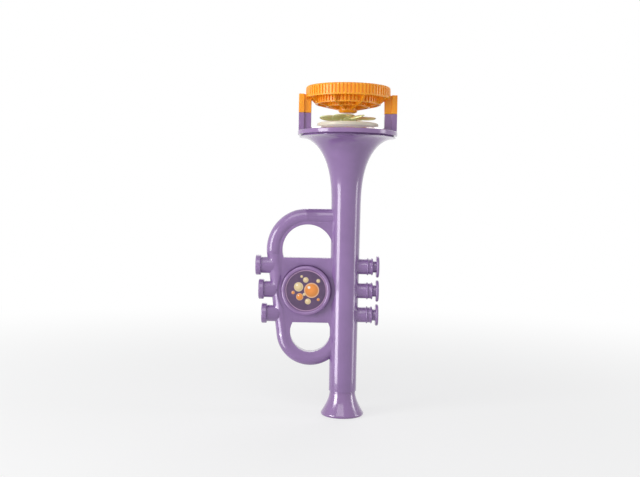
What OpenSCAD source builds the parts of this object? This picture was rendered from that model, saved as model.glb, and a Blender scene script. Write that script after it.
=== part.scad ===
// Bubble blower trumpet: a toy trumpet whose fan, above the bell, blows through
// a head of slotted rings. Millimetres. +Z runs up the main tube to the bell, the
// front faces -Y, and the origin is the centre of the mouthpiece's end.

/* [Mouthpiece] */
// Height of the mouthpiece up to its seam with the main tube
mouthpiece_h = 18.6; // [17:0.2:22]
// Radius of the mouthpiece's end
mouthpiece_r = 16; // [14.5:0.1:18]
// How far the mouthpiece's top is set in from the tube
mouthpiece_step = 0.7; // [0.3:0.1:1.2]
// Radius of the rounded lip around the end
lip_r = 1.5; // [1:0.1:2]
// Radius of the cup in the end
cup_r = 12; // [9:0.1:12.8]
// Depth of the cup
cup_depth = 7; // [5:0.5:9]
// Length of the spigot that the two halves push into the mouthpiece
spigot_len = 4; // [3:0.2:6]

/* [Main tube and bell] */
// Outer radius of the tube at the mouthpiece
grip_r = 10.3; // [10.1:0.1:11]
// Length of the straight grip above the seam
grip_len = 17; // [10:1:20]
// Outer radius of the tube where the bell starts
throat_r = 11; // [10.8:0.1:12]
// Length of the tube between the battery bay and the start of the bell
tube_over = 25.4; // [25:0.2:34]
// Wall thickness of the moulded halves
wall = 1.6; // [1.4:0.1:1.8]
// Height of the flare, from its start to its edge
bell_h = 54.2; // [51:0.2:58]
// Radius of the flare's edge
bell_r = 36; // [34:0.5:38]
// How late the flare opens: larger is later
flare_power = 2.7; // [2.4:0.1:3.6]

/* [Rim ring and posts] */
// How far the rim ring stands out past the flare's edge
rim_out = 1.1; // [0.6:0.1:2]
// Height of the rim ring
rim_h = 3.3; // [3:0.1:5]
// Width of the groove between the flare and the rim ring
groove_h = 1.4; // [0.6:0.1:1.6]
// Depth of the groove
groove_d = 1.5; // [1:0.1:1.8]
// How far the rim ring's sloping top rises towards the platform
cone_rise = 3.3; // [1:0.1:4]
// How far the posts' outer faces lie inside the rim ring's face
post_inset = 0.4; // [0.2:0.1:1]
// Height of the posts above the rim ring
post_h = 13.2; // [12:0.2:18]
// Radial width of the posts
post_w = 9.5; // [8:0.1:11]
// Depth of the posts, front to back
post_d = 9; // [7:0.2:12]
// Radial width of the thicker outer part of the posts
post_flange_w = 4.3; // [4:0.1:6]
// How much thinner the inner part of the posts is on each face
post_step = 1.4; // [0.8:0.1:2]
// Radius of the pegs on top of the posts
peg_r = 1.5; // [1:0.1:1.8]
// Length of the pegs
peg_len = 8; // [5:0.5:9]

/* [Platform in the bell] */
// Room between the raised platform and the posts
platform_room = 4.3; // [3:0.1:6]
// Height of the platform above its flange
platform_h = 7.4; // [6:0.2:9]
// Thickness of the platform's sheet
platform_t = 1.6; // [1.2:0.1:2]
// Radius of the rounded edge of the platform
platform_edge_r = 1.2; // [0.6:0.1:1.5]

/* [Fan] */
// How far the fan's blades stay inside the platform's edge
fan_inset = 1.9; // [0.5:0.1:4]
// Number of blades
fan_blades = 6; // [4:1:8]
// Widest chord of a blade
blade_w = 9; // [7:0.1:10]
// Thickness of a blade
blade_t = 1.1; // [0.9:0.1:1.4]
// Pitch of the blades in degrees
blade_pitch = 20; // [12:1:24]
// Radius of the camber of a blade
camber_r = 16; // [13:1:30]
// Radius of the hub at its foot
hub_r = 6; // [5:0.1:7]
// Height of the hub
hub_h = 6.1; // [5.6:0.1:6.6]
// Radius of the motor's shaft
shaft_r = 1; // [0.8:0.05:1.2]

/* [Bubble head] */
// How far the outer ring lies inside the outer faces of the clip blocks
head_inset = 5.2; // [4.5:0.1:6]
// Height of the outer ring
head_h = 8.5; // [7:0.1:10]
// Wall of the outer ring
head_wall = 1.9; // [1.7:0.1:2.4]
// Distance from the outer ring in to the middle ring
mid_ring_inset = 7.1; // [6:0.1:8.5]
// Distance from the middle ring in to the inner ring
inner_ring_inset = 8; // [6:0.1:9]
// Wall of the middle ring, the inner ring and the hub
ring_wall = 1.6; // [1.4:0.1:2]
// Radius of the head's hub
head_hub_r = 7.2; // [5:0.1:8]
// Room between the fan's hub and the head's hub
hub_room = 1; // [0.6:0.1:2]
// How far the rounded top edge of the outer ring is drawn in
head_edge_in = 1; // [0.4:0.1:1.2]
// Height of the rounded top edge of the outer ring
head_edge_h = 2.4; // [1:0.1:3]
// How far the inner rings stop below the top of the outer ring
ring_drop = 1.6; // [0.8:0.1:3]
// Number of radial fins
fin_count = 8; // [6:2:12]
// Thickness of a fin
fin_t = 1.4; // [1:0.1:1.8]
// Spacing of the slots around the rings
slot_pitch = 2.75; // [2.4:0.05:4]
// Width of a slot
slot_w = 1.1; // [0.8:0.05:1.3]
// Depth of a slot
slot_d = 0.9; // [0.6:0.05:1.1]
// Height of the unslotted band at the foot of each ring
slot_foot = 1.4; // [1:0.1:2.5]
// Height of the clip blocks that stand on the posts
clip_h = 13.9; // [13:0.1:16]
// How far the outer ring stands above the clip blocks
head_rise = 5.5; // [4:0.1:6.5]

/* [Loop] */
// Distance of the upper bend's centre from the tube's axis
bend_top_x = 28; // [26:0.2:31]
// Height of the upper bend's centre
bend_top_z = 124.2; // [122:0.2:128]
// Radius of the upper bend along the middle of the pipe
bend_top_r = 24.9; // [23.5:0.1:26]
// Radius of the pipe in the upper bend
pipe_top_r = 6; // [5.6:0.1:6.4]
// Distance of the lower bend's centre from the tube's axis
bend_low_x = 25.1; // [24:0.1:27]
// Height of the lower bend's centre
bend_low_z = 62.6; // [60:0.2:66]
// Radius of the lower bend along the middle of the pipe
bend_low_r = 20.3; // [19:0.1:21]
// Radius of the pipe in the lower bend
pipe_low_r = 5.2; // [5:0.1:5.6]
// Half of the plate's thickness
plate_half = 4.6; // [4.4:0.1:5]
// Half of the plate's height between the two finger holes
plate_half_h = 24.2; // [23.4:0.1:26]

/* [Thumb button] */
// Distance of the button from the tube's axis
button_x = 28.7; // [28:0.1:29.4]
// Height of the button above the mouthpiece's end
button_z = 94; // [92:0.2:96]
// Outer radius of the button
button_r = 18.45; // [17:0.05:18.8]
// Radius of the clearance pocket around the button
pocket_r = 21.6; // [20.5:0.1:22]
// Thickness of the pocket's lining where it cuts into the tubes
lining = 0.8; // [0.6:0.1:1]
// How far the button stands out of the plate
button_out = 5; // [4:0.1:6]
// Width of the button's raised ring
button_ring_w = 3; // [2.4:0.1:4]
// Depth of the recess inside the ring
recess_d = 1.7; // [1:0.1:2.2]
// Wall of the button
button_wall = 1.5; // [1.2:0.1:2]
// How far the button travels
button_travel = 2; // [1:0.1:2.4]
// Width of the retaining flange behind the plate
flange_w = 1.75; // [1.2:0.05:2.2]
// Thickness of the retaining flange
flange_t = 1.2; // [0.8:0.1:1.4]
// Thickness of the label disc
label_t = 0.3; // [0.2:0.05:0.5]
// Gap around the button
button_gap = 0.4; // [0.3:0.05:0.6]

/* [Valves] */
// Distance between neighbouring valves
valve_pitch = 18.1; // [17.2:0.1:18.6]
// Radius of a valve casing
casing_r = 5.8; // [5.2:0.1:6.2]
// How far a casing reaches from the tube's axis
casing_reach = 21; // [19:0.1:23]
// How far the beads stand out of a casing
bead_h = 0.7; // [0.4:0.1:1]
// Width of a bead
bead_w = 1.3; // [1:0.1:1.6]
// Distance between the two beads
bead_pitch = 3.3; // [2.4:0.1:4]
// Radius of the neck under a finger cap
neck_r = 4.4; // [3.4:0.1:5]
// Length of the neck
neck_len = 2.4; // [1.6:0.1:3]
// Radius of a finger cap
cap_r = 8.1; // [7:0.1:8.2]
// Thickness of a finger cap
cap_t = 2.2; // [1.6:0.1:3]
// Radius of a bottom stub between the loop and its cap
stub_r = 6.2; // [5.4:0.1:6.6]
// Length of a bottom stub
stub_len = 5.2; // [4:0.1:6]
// Radius of a bottom cap
stub_cap_r = 7.55; // [7:0.05:8]
// Thickness of a bottom cap
stub_cap_t = 4.1; // [3:0.1:5]
// Radius of the rounded edges of the caps
cap_edge_r = 0.8; // [0.4:0.1:1]

/* [Power] */
// Radius of a cell
cell_r = 7.25; // [6.8:0.05:7.3]
// Length of a cell with its nub
cell_len = 50.5; // [49:0.1:50.8]
// Radius of the cell's nub
nub_r = 2.75; // [2:0.05:3]
// Height of the cell's nub
nub_h = 1; // [0.6:0.1:1.4]
// How far the cells sit behind the tube's axis
cell_back = 0.6; // [0.4:0.05:0.7]
// Length of the spring contact in place
contact_len = 5; // [4:0.1:6]
// Radius of the spring contact's wire
spring_wire_r = 0.4; // [0.3:0.05:0.5]
// Diameter of the motor
motor_d = 20.2; // [18:0.1:20.4]
// Width of the motor over its flats
motor_flat = 15.1; // [13:0.1:16]
// Length of the motor's can
motor_len = 24.8; // [22:0.1:25]
// Radius of a wire over its insulation
wire_r = 0.5; // [0.4:0.05:0.55]

/* [Battery door] */
// Clearance around the door
door_gap = 0.15; // [0.1:0.05:0.3]
// Length of the hooked tongue at the door's lower end
tongue_len = 2.3; // [1.6:0.1:2.6]
// Width of the tongue
tongue_w = 8; // [6:0.5:9]
// Radius of the door screw's boss
door_boss_r = 3.2; // [3:0.1:3.6]

/* [Screws] */
// Radius of a screw's shank
screw_r = 1.1; // [0.9:0.05:1.2]
// Radius of a screw's head
screw_head_r = 2.2; // [1.8:0.05:2.3]
// Height of a screw's head
screw_head_h = 1.6; // [1.2:0.1:2]
// Radius of the bosses that the screws go into
boss_r = 3.1; // [2.9:0.1:3.4]

/* [Hidden] */
$fn = 64;

// Overrun of cuts and steps of outlines
over = 1;
arc_steps = 6;
edge_steps = 3;
flare_steps = 16;

// Clearances: seated pieces, moving pieces, and the shaft in its bush
seat_gap = 0.05;
move_gap = 0.3;
run_gap = 0.05;

// Sheet metal and small metal parts
metal_t = 0.4;
terminal_w = 2.4;
terminal_len = 2.6;

// Battery bay
bay_floor_t = wall;
bay_z = mouthpiece_h + 2 * wall;
cells_z = bay_z + metal_t + contact_len;
cells_top_z = cells_z + 2 * cell_len;
bay_top_z = cells_top_z + metal_t;
rib_r = cell_r + move_gap;
cell_rib_t = 1.2;
cell_rib_w = 9;
cell_rib_shares = [1 / 5, 2 / 5, 3 / 5, 4 / 5];
bay_notch_x = grip_r - 2 * wall;
bay_notch_half = 3.2;
tab_w = 3;

// Heights along the main tube
tube_top_z = bay_top_z + tube_over;
tube_len = tube_top_z - mouthpiece_h;
flare_edge_z = tube_top_z + bell_h;
rim_z = flare_edge_z + groove_h;
rim_top_z = rim_z + rim_h;
post_top_z = rim_top_z + post_h;

// Seat of the platform in the bell
collar_r = bell_r - groove_d;
rim_lip_t = 1.3;
lip_edge = 0.6;
collar_top_z = rim_top_z - rim_lip_t - seat_gap;
flange_z = collar_top_z - platform_t - seat_gap;
seat_r = collar_r - wall;
seat_w = 3.4;
platform_z = flange_z + platform_t + platform_h;
rim_r = bell_r + rim_out;
post_r = rim_r - post_inset;
platform_r = post_r - post_w - platform_room;
fan_r = platform_r - fan_inset;

// Battery door, from below the cells to above its screw
door_z = cells_z - tongue_len;
door_screw_z = bay_top_z + seat_gap + bay_floor_t + door_gap + door_boss_r;
door_top_z = door_screw_z + door_boss_r + wall;
door_len = door_top_z - door_z;
door_half_w = cell_r + 2 * door_gap;
door_head_y = throat_r - screw_head_h - wall / 2;
door_post_y = throat_r - wall - 3 * screw_head_h;
door_pilot_y = door_post_y - 2 * screw_head_h;
tongue_t = 0.9;

// Motor
end_cap_t = 2.2;
nose_r = 3.05;
nose_h = 1.5;
can_top_z = platform_z - platform_t - 2 * seat_gap;
can_z = can_top_z - motor_len;
end_cap_z = can_z - end_cap_t;
cradle_t = 1.5;
cradle_shares = [1 / 8, 1 / 2];
shaft_depth = 6;
terminal_x = motor_d / 4;
fan_z = platform_z + 2 * move_gap;
shaft_top_z = fan_z + hub_h - platform_t;

// Outline of a blade: shares of the fan's radius and of the blade's width
leaf_shares = [[0.2, 0.35], [0.35, 0.7], [0.55, 0.95], [0.75, 1], [0.9, 0.8], [1, 0.25]];

// Bubble head
clip_top_z = post_top_z + clip_h;
head_top_z = clip_top_z + head_rise;
head_z = head_top_z - head_h;
head_r = post_r - head_inset;
mid_ring_r = head_r - mid_ring_inset;
inner_ring_r = mid_ring_r - inner_ring_inset;
head_hub_z = fan_z + hub_h + hub_room;
hub_edge_r = 2;

// Underside of the head: shares of the way from the hub out to the ring, and of the hub's depth
bowl_shares = [[0, 0.8], [0.43, 0.6], [0.78, 0.42], [1, 0]];

// Thumb button
plate_in = plate_half - wall;
button_front = plate_half + button_out;
flange_front = plate_in - move_gap;
flange_back = flange_front - flange_t;
button_hole_r = button_r + button_gap;
recess_r = button_r - button_ring_w;
recess_y = button_front - recess_d;
roof_y = recess_y - button_wall;
bridge_y = flange_back - metal_t;
bridge_x = 9;
bridge_w = 3.4;
bridge_len = 15;
contact_span = 5.5;
contact_y = bridge_y - button_travel - metal_t / 2;
spring_r = 2.6;
spring_wire = 0.25;
spring_turns = 4;
spring_peg_r = 1.7;
coil_steps = 16;
coil_sides = 6;

// Wires: the channels beside the cells, the switch, and the motor's terminals
wire_sides = 8;
bend_steps = 4;
wire_lean = [0.2, 1, 0.1];
channel_x = grip_r - wall - wire_r - seat_gap;
wire_y = 1.2;
deep_y = plate_in - wire_r - 2 * seat_gap;
terminal_z = end_cap_z - terminal_len;
contact_x = -button_x + bridge_x + bridge_w / 2 + wire_r + seat_gap;
web_x = -throat_r + wall / 2;

// Left leg of the loop, tangent to both bends
bend_top = [-bend_top_x, bend_top_z];
bend_low = [-bend_low_x, bend_low_z];
bend_gap = norm(bend_top - bend_low);
leg_angle = atan2(bend_top_z - bend_low_z, bend_low_x - bend_top_x)
    + acos((bend_low_r - bend_top_r) / bend_gap);
leg_normal = [cos(leg_angle), sin(leg_angle)];
leg_top = bend_top + bend_top_r * leg_normal;
leg_low = bend_low + bend_low_r * leg_normal;
low_end_angle = 332;

// Shell screws, as places in the plane between the two halves
screw_places = [
    [-bend_top_x + pipe_top_r, bend_top_z + bend_top_r],
    bend_top + bend_top_r * [cos(150), sin(150)],
    bend_low + bend_low_r * [cos(250), sin(250)],
    [0, door_top_z + 2 * boss_r + wall],
    [0, tube_top_z + tube_len / 8],
    [casing_reach - casing_r - wall, button_z + valve_pitch],
    [casing_reach - casing_r - wall, button_z - valve_pitch]
];
head_seat_y = 2 * wall;
pilot_y = -plate_in;

// Curves and outlines
function lerp(a, b, t) = a + (b - a) * t;
function unit(v) = v / norm(v);
function arc(centre, r, a0, a1) = [
    for (i = [0:arc_steps])
        let (a = lerp(a0, a1, i / arc_steps)) centre + r * [cos(a), sin(a)]
];

// Outer radius of the main tube at a height: straight grip, then a slow taper
function tube_r(z) = z < mouthpiece_h + grip_len ? grip_r
    : lerp(grip_r, throat_r, (z - mouthpiece_h - grip_len) / (tube_len - grip_len));

// The flare opens like the quarter of a superellipse, steepest at its edge
function flare_r(t) = bell_r - (bell_r - throat_r) * sqrt(1 - pow(t, flare_power));
flare = [
    for (i = [0:flare_steps])
        let (t = sin(90 * i / flare_steps)) [flare_r(t), tube_top_z + bell_h * t]
];
function inward(c, i) =
    let (d = unit(c[min(i + 1, len(c) - 1)] - c[max(i - 1, 0)])) [-d[1], d[0]];
flare_inside = [
    for (i = [0:len(flare) - 1])
        let (p = flare[i] + wall * inward(flare, i)) if (p[0] < seat_r - seat_w - wall) p
];

// Places on the left leg: its middle and its radius at a height
function leg_share(z) = (z - leg_low[1]) / (leg_top[1] - leg_low[1]);
function leg_x(z) = lerp(leg_low[0], leg_top[0], leg_share(z));
function leg_r(z) = lerp(pipe_low_r, pipe_top_r, leg_share(z));

// Round bodies along the three axes
module along_x(x0, x1, z, r) {
    translate([x0, 0, z]) rotate([0, 90, 0]) cylinder(h = x1 - x0, r = r);
}

module along_y(x, z, y0, y1, r) {
    translate([x, y1, z]) rotate([90, 0, 0]) cylinder(h = y1 - y0, r = r);
}

// Turns an outline of [radius, distance to the front] about an axis along Y
module turned_front(x, z) {
    translate([x, 0, z]) rotate([90, 0, 0]) rotate_extrude() children();
}

// Outline in X and Z, given a thickness from y0 to y1
module slab_y(y0, y1) {
    translate([0, y1, 0]) rotate([90, 0, 0]) linear_extrude(y1 - y0) children();
}

// A bend of the loop in the plane between the halves
module bend(centre, r, pipe_r, a0, a1) {
    translate([centre[0], 0, centre[1]]) rotate([90, 0, 0]) rotate([0, 0, a0])
        rotate_extrude(angle = a1 - a0) translate([r, 0]) circle(r = pipe_r);
}

module front_half() {
    reach = flare_edge_z + bell_h;
    translate([-reach, -2 * reach, -reach]) cube([2 * reach, 2 * reach, 3 * reach]);
}

// Main tube and bell, outside
module tube_outside() {
    rotate_extrude() polygon(concat(
        [
            [0, mouthpiece_h - spigot_len],
            [grip_r - wall - seat_gap, mouthpiece_h - spigot_len],
            [grip_r - wall - seat_gap, mouthpiece_h],
            [grip_r, mouthpiece_h],
            [grip_r, mouthpiece_h + grip_len]
        ],
        flare,
        [
            [collar_r, flare_edge_z],
            [collar_r, collar_top_z],
            [0, collar_top_z]
        ]
    ));
}

// Main tube and bell, inside, with the seat for the platform
module tube_inside() {
    rotate_extrude() polygon(concat(
        [
            [0, mouthpiece_h - spigot_len - over],
            [grip_r - 2 * wall, mouthpiece_h - spigot_len - over],
            [grip_r - 2 * wall, mouthpiece_h],
            [grip_r - wall, mouthpiece_h + wall],
            [grip_r - wall, mouthpiece_h + grip_len]
        ],
        flare_inside,
        [
            [seat_r - seat_w, flange_z],
            [seat_r, flange_z],
            [seat_r, collar_top_z + over],
            [0, collar_top_z + over]
        ]
    ));
}

// The loop of pipe on the left, its radii less a given depth. The straight pieces are a
// hair thinner than the bends, so that their ends stay inside where they overlap them.
module loop_pipe(depth) {
    run = leg_top - leg_low;
    straight = depth + seat_gap;
    along_x(-bend_top_x - over, 0, bend_top_z + bend_top_r, pipe_top_r - straight);
    bend(bend_top, bend_top_r, pipe_top_r - depth, 90, leg_angle);
    translate([leg_low[0], 0, leg_low[1]]) rotate([0, atan2(run[0], run[1]), 0])
        translate([0, 0, -over])
            cylinder(h = norm(run) + 2 * over, r1 = pipe_low_r - straight, r2 = pipe_top_r - straight);
    bend(bend_low, bend_low_r, pipe_low_r - depth, leg_angle, low_end_angle);
}

// A bend's round hole, cut flat where the plate starts
module finger_hole(centre, r, z0, z1) {
    intersection() {
        translate(centre) circle(r = r);
        translate([centre[0] - 2 * r, z0]) square([4 * r, z1 - z0]);
    }
}

// The web inside the loop with its two finger holes, which grow by a given depth
module plate_outline(depth) {
    top_z = bend_top_z + bend_top_r;
    difference() {
        union() {
            translate(bend_top) circle(r = bend_top_r);
            translate(bend_low) circle(r = bend_low_r);
            polygon([
                leg_top, leg_low, bend_low, [0, bend_low_z], [0, top_z],
                [-bend_top_x, top_z], bend_top
            ]);
        }
        finger_hole(bend_top, bend_top_r - pipe_top_r + depth,
            button_z + plate_half_h - depth, top_z);
        finger_hole(bend_low, bend_low_r - pipe_low_r + depth,
            bend_low_z - bend_low_r, button_z - plate_half_h + depth);
    }
}

module plate(depth) {
    slab_y(-plate_half + depth, plate_half - depth) plate_outline(depth);
}

// Half-round bead on a casing, starting at a distance along it
function bead(start) = [
    for (i = [0:arc_steps])
        let (a = 180 * i / arc_steps)
            [casing_r + bead_h * sin(a), start + bead_w * (1 - cos(a)) / 2]
];

// Valve casing with two beads, a neck and a finger cap, turned about X
module valve(z) {
    cap_x = casing_reach + neck_len;
    translate([0, 0, z]) rotate([0, 90, 0]) rotate_extrude() polygon(concat(
        [[0, 0], [casing_r, 0]],
        bead(casing_reach - bead_w - bead_pitch),
        bead(casing_reach - bead_w),
        [[neck_r, casing_reach], [neck_r, cap_x]],
        [[cap_r - cap_edge_r, cap_x]],
        arc([cap_r - cap_edge_r, cap_x + cap_edge_r], cap_edge_r, -90, 0),
        arc([cap_r - cap_edge_r, cap_x + cap_t - cap_edge_r], cap_edge_r, 0, 90),
        [[0, cap_x + cap_t]]
    ));
}

// Bottom stub on the left leg of the loop, with its cap, turned about -X
module stub(z) {
    foot = leg_x(z);
    face = leg_r(z) + stub_len;
    root_r = leg_r(z) - wall / 4;
    translate([foot, 0, z]) rotate([0, -90, 0]) rotate_extrude() polygon(concat(
        [[0, 0], [root_r, 0], [stub_r, root_r / 2], [stub_r, face]],
        arc([stub_cap_r - cap_edge_r, face + cap_edge_r], cap_edge_r, -90, 0),
        arc([stub_cap_r - cap_edge_r, face + stub_cap_t - cap_edge_r], cap_edge_r, 0, 90),
        [[0, face + stub_cap_t]]
    ));
}

// Everything that the two halves cover together
module body_outside() {
    tube_outside();
    loop_pipe(0);
    plate(0);
    for (i = [-1:1]) valve(button_z + i * valve_pitch);
    for (i = [-1:1]) stub(button_z + i * valve_pitch);
}

// The hollow inside the halves
module body_inside() {
    tube_inside();
    loop_pipe(wall);
    plate(wall);
    for (i = [-1:1])
        along_x(0, casing_reach - bead_w, button_z + i * valve_pitch, casing_r - wall);
}

// The motor's outline seen from above, grown by a gap
module motor_outline(gap) {
    intersection() {
        circle(d = motor_d + 2 * gap);
        square([motor_d + 2 * gap, motor_flat + 2 * gap], center = true);
    }
}

module disc(z, t, r) {
    translate([0, 0, z]) cylinder(h = t, r = r);
}

// A wall across the tube with notches for the wires
module bay_wall(z) {
    difference() {
        disc(z, bay_floor_t, throat_r);
        for (side = [-1, 1])
            translate([side > 0 ? bay_notch_x : -bay_notch_x - throat_r, -bay_notch_half, z - over])
                cube([throat_r, 2 * bay_notch_half, bay_floor_t + 2 * over]);
    }
}

// Ribs that carry the motor in the throat of the bell
module motor_cradle() {
    for (share = cradle_shares)
        translate([0, 0, can_z + share * motor_len]) linear_extrude(cradle_t) difference() {
            circle(r = bell_r);
            motor_outline(seat_gap);
        }
}

// Front ribs that the cells lie on
module cell_ribs() {
    for (share = cell_rib_shares)
        difference() {
            translate([-cell_rib_w / 2, -throat_r, lerp(cells_z, cells_top_z, share)])
                cube([cell_rib_w, throat_r, cell_rib_t]);
            translate([0, cell_back, cells_z - over])
                cylinder(h = cells_top_z - cells_z + 2 * over, r = rib_r);
        }
}

// What stays solid inside both halves
module inner_walls() {
    disc(bay_z - bay_floor_t, bay_floor_t, throat_r);
    bay_wall(bay_top_z + seat_gap);
    motor_cradle();
    for (p = screw_places) along_y(p[0], p[1], -throat_r, throat_r, boss_r);
}

// Inner walls of the front half alone: ribs, the pocket's lining and the door's post
module front_walls() {
    cell_ribs();
    along_y(-button_x, button_z, -throat_r, -plate_half + lining, pocket_r + lining);
    door_post();
}

// The post that the door's screw goes into reaches across into the rear half
module door_post() {
    along_y(0, door_screw_z, -throat_r + wall, door_post_y, boss_r);
}

module front_shell() {
    color("mediumpurple") difference() {
        union() {
            intersection() {
                body_outside();
                front_half();
            }
            door_post();
        }
        difference() {
            body_inside();
            inner_walls();
            front_walls();
        }
        along_y(-button_x, button_z, -2 * throat_r, -plate_half, pocket_r);
        along_y(-button_x, button_z, -2 * throat_r, 0, button_hole_r);
        for (p = screw_places) along_y(p[0], p[1], pilot_y, over, screw_r + seat_gap);
        along_y(0, door_screw_z, door_pilot_y, door_post_y + over, screw_r + move_gap);
    }
}

// The opening that the battery door fills, larger than the door by a gap
module door_block(gap) {
    translate([-door_half_w - gap, 0, door_z - gap])
        cube([2 * (door_half_w + gap), 2 * throat_r, door_len + 2 * gap]);
}

module tube_wall_outline(z0, z1, depth, out) {
    mid = mouthpiece_h + grip_len;
    polygon([
        [tube_r(z0) - depth, z0], [tube_r(z0) + out, z0], [tube_r(mid) + out, mid],
        [tube_r(z1) + out, z1], [tube_r(z1) - depth, z1], [tube_r(mid) - depth, mid]
    ]);
}

module rear_shell() {
    color("mediumpurple") difference() {
        difference() {
            body_outside();
            front_half();
        }
        difference() {
            body_inside();
            inner_walls();
            along_y(-button_x, button_z, plate_in - wall, plate_half, spring_peg_r);
        }
        intersection() {
            door_block(door_gap);
            rotate_extrude()
                tube_wall_outline(door_z - door_gap, door_top_z + door_gap, wall + move_gap, over);
        }
        for (p = screw_places) {
            along_y(p[0], p[1], -over, 2 * throat_r, screw_r + 2 * seat_gap);
            along_y(p[0], p[1], head_seat_y, 2 * throat_r, screw_head_r + move_gap);
        }
    }
}

// Band around the bell whose top slopes up to the platform, with the two posts and their pegs
module rim_ring() {
    color("mediumpurple") {
        rotate_extrude() polygon(concat(
            [[collar_r + seat_gap, rim_z]],
            arc([rim_r - lip_edge, rim_z + lip_edge], lip_edge, -90, 0),
            arc([rim_r - lip_edge, rim_top_z - lip_edge], lip_edge, 0, 90),
            [
                [platform_r + move_gap, rim_top_z + cone_rise],
                [platform_r + move_gap, rim_top_z + cone_rise - rim_lip_t],
                [seat_r, rim_top_z - rim_lip_t],
                [collar_r + seat_gap, rim_top_z - rim_lip_t]
            ]
        ));
        for (side = [-1, 1]) {
            post(side, rim_top_z - rim_lip_t, post_top_z);
            translate([side * (post_r - post_flange_w / 2), 0, post_top_z - over])
                cylinder(h = peg_len + over, r = peg_r);
        }
    }
}

// A post between two heights: a thick outer part with a rounded face, and a thinner web
module post(side, z0, z1) {
    intersection() {
        disc(z0, z1 - z0, post_r);
        union() {
            translate([side > 0 ? post_r - post_flange_w : -post_r, -post_d / 2, z0])
                cube([post_flange_w, post_d, z1 - z0]);
            translate([side > 0 ? post_r - post_w : -post_r, -post_d / 2 + post_step, z0])
                cube([post_w, post_d - 2 * post_step, z1 - z0]);
        }
    }
}

// The mouthpiece flares like a quarter wave towards its end
module mouthpiece() {
    top_r = grip_r - mouthpiece_step;
    color("mediumorchid") difference() {
        rotate_extrude() polygon(concat(
            [[0, 0]],
            arc([mouthpiece_r - lip_r, lip_r], lip_r, -90, 0),
            [
                for (i = [0:flare_steps])
                    let (t = i / flare_steps)
                        [
                            top_r + (mouthpiece_r - top_r) * (1 - cos(90 * (1 - t))),
                            lerp(lip_r + wall / 4, mouthpiece_h, t)
                        ]
            ],
            [[0, mouthpiece_h]]
        ));
        disc(-over, cup_depth + over, cup_r);
        disc(mouthpiece_h - spigot_len - seat_gap, spigot_len + over, grip_r - wall);
    }
}

module platform() {
    color("ivory") difference() {
        rotate_extrude() polygon(concat(
            [
                [0, flange_z + platform_t],
                [0, flange_z],
                [seat_r - seat_gap, flange_z],
                [seat_r - seat_gap, flange_z + platform_t],
                [platform_r, flange_z + platform_t]
            ],
            arc([platform_r - platform_edge_r, platform_z - platform_edge_r], platform_edge_r, 0, 90),
            [[0, platform_z]]
        ));
        disc(flange_z - over, platform_z - flange_z - platform_t + over, platform_r - platform_t);
        disc(flange_z, 2 * platform_h, nose_r + seat_gap);
    }
}

// Leaf outline of one blade seen from above, root on the axis
module leaf() {
    last = len(leaf_shares) - 1;
    polygon(concat(
        [for (i = [0:last]) [fan_r * leaf_shares[i][0], blade_w / 2 * leaf_shares[i][1]]],
        [for (i = [last:-1:0]) [fan_r * leaf_shares[i][0], -blade_w / 2 * leaf_shares[i][1]]]
    ));
}

// A leaf cut from a thin cylinder, so that the blade is cambered, then pitched
module blade() {
    rotate([blade_pitch, 0, 0]) intersection() {
        translate([0, 0, -blade_w]) linear_extrude(2 * blade_w) leaf();
        translate([0, 0, -camber_r]) rotate([0, 90, 0]) difference() {
            cylinder(h = 2 * fan_r, r = camber_r + blade_t / 2);
            translate([0, 0, -over]) cylinder(h = 2 * fan_r + 2 * over, r = camber_r - blade_t / 2);
        }
    }
}

module fan() {
    hub_top_z = fan_z + hub_h;
    blade_z = fan_z + blade_w / 2 * sin(blade_pitch) + 2 * blade_t;
    dome_r = hub_top_z - blade_z;
    color("greenyellow") difference() {
        union() {
            rotate_extrude() polygon(concat(
                [[0, fan_z], [hub_r, fan_z], [hub_r, blade_z]],
                arc([hub_r - dome_r, blade_z], dome_r, 0, 90),
                [[0, hub_top_z]]
            ));
            for (i = [0:fan_blades - 1])
                translate([0, 0, blade_z]) rotate([0, 0, 360 * i / fan_blades]) blade();
        }
        disc(fan_z - over, shaft_top_z - fan_z + over, shaft_r);
    }
}

module motor_shaft() {
    foot_z = can_top_z - shaft_depth + seat_gap;
    color("silver") disc(foot_z, shaft_top_z - foot_z, shaft_r);
}

module motor_can() {
    color("lightgray") difference() {
        union() {
            translate([0, 0, can_z]) linear_extrude(motor_len) motor_outline(0);
            disc(can_top_z, nose_h, nose_r);
        }
        disc(can_top_z - shaft_depth, shaft_depth + 2 * nose_h, shaft_r + run_gap);
    }
}

module motor_end_cap() {
    color("white") translate([0, 0, end_cap_z]) linear_extrude(end_cap_t) motor_outline(-metal_t);
}

module motor_terminals() {
    color("gold") for (side = [-1, 1])
        translate([side * terminal_x - terminal_w / 2, -metal_t / 2, end_cap_z - terminal_len])
            cube([terminal_w, metal_t, terminal_len]);
}

// Cup with a rounded ring around its face, a flange behind the plate and a seat for the spring
module thumb_button() {
    ring_mid = button_r - button_ring_w / 2;
    tip_r = button_ring_w / 2;
    color("mediumpurple") {
        turned_front(-button_x, button_z) polygon(concat(
            [
                [0, roof_y],
                [button_r - button_wall, roof_y],
                [button_r - button_wall, flange_back],
                [button_r + flange_w, flange_back],
                [button_r + flange_w, flange_front],
                [button_r, flange_front]
            ],
            arc([ring_mid, button_front - tip_r], tip_r, 0, 180),
            [[recess_r, recess_y], [0, recess_y]]
        ));
        along_y(-button_x, button_z, -roof_y - over, -flange_back, spring_r + 2 * metal_t);
        translate([-button_x + bridge_x - bridge_w / 2, -roof_y - over, button_z - bridge_len / 2])
            cube([bridge_w, roof_y + over - flange_back, bridge_len]);
    }
}

module button_label() {
    color("rebeccapurple")
        along_y(-button_x, button_z, -recess_y - label_t, -recess_y, recess_r - seat_gap);
}

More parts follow.
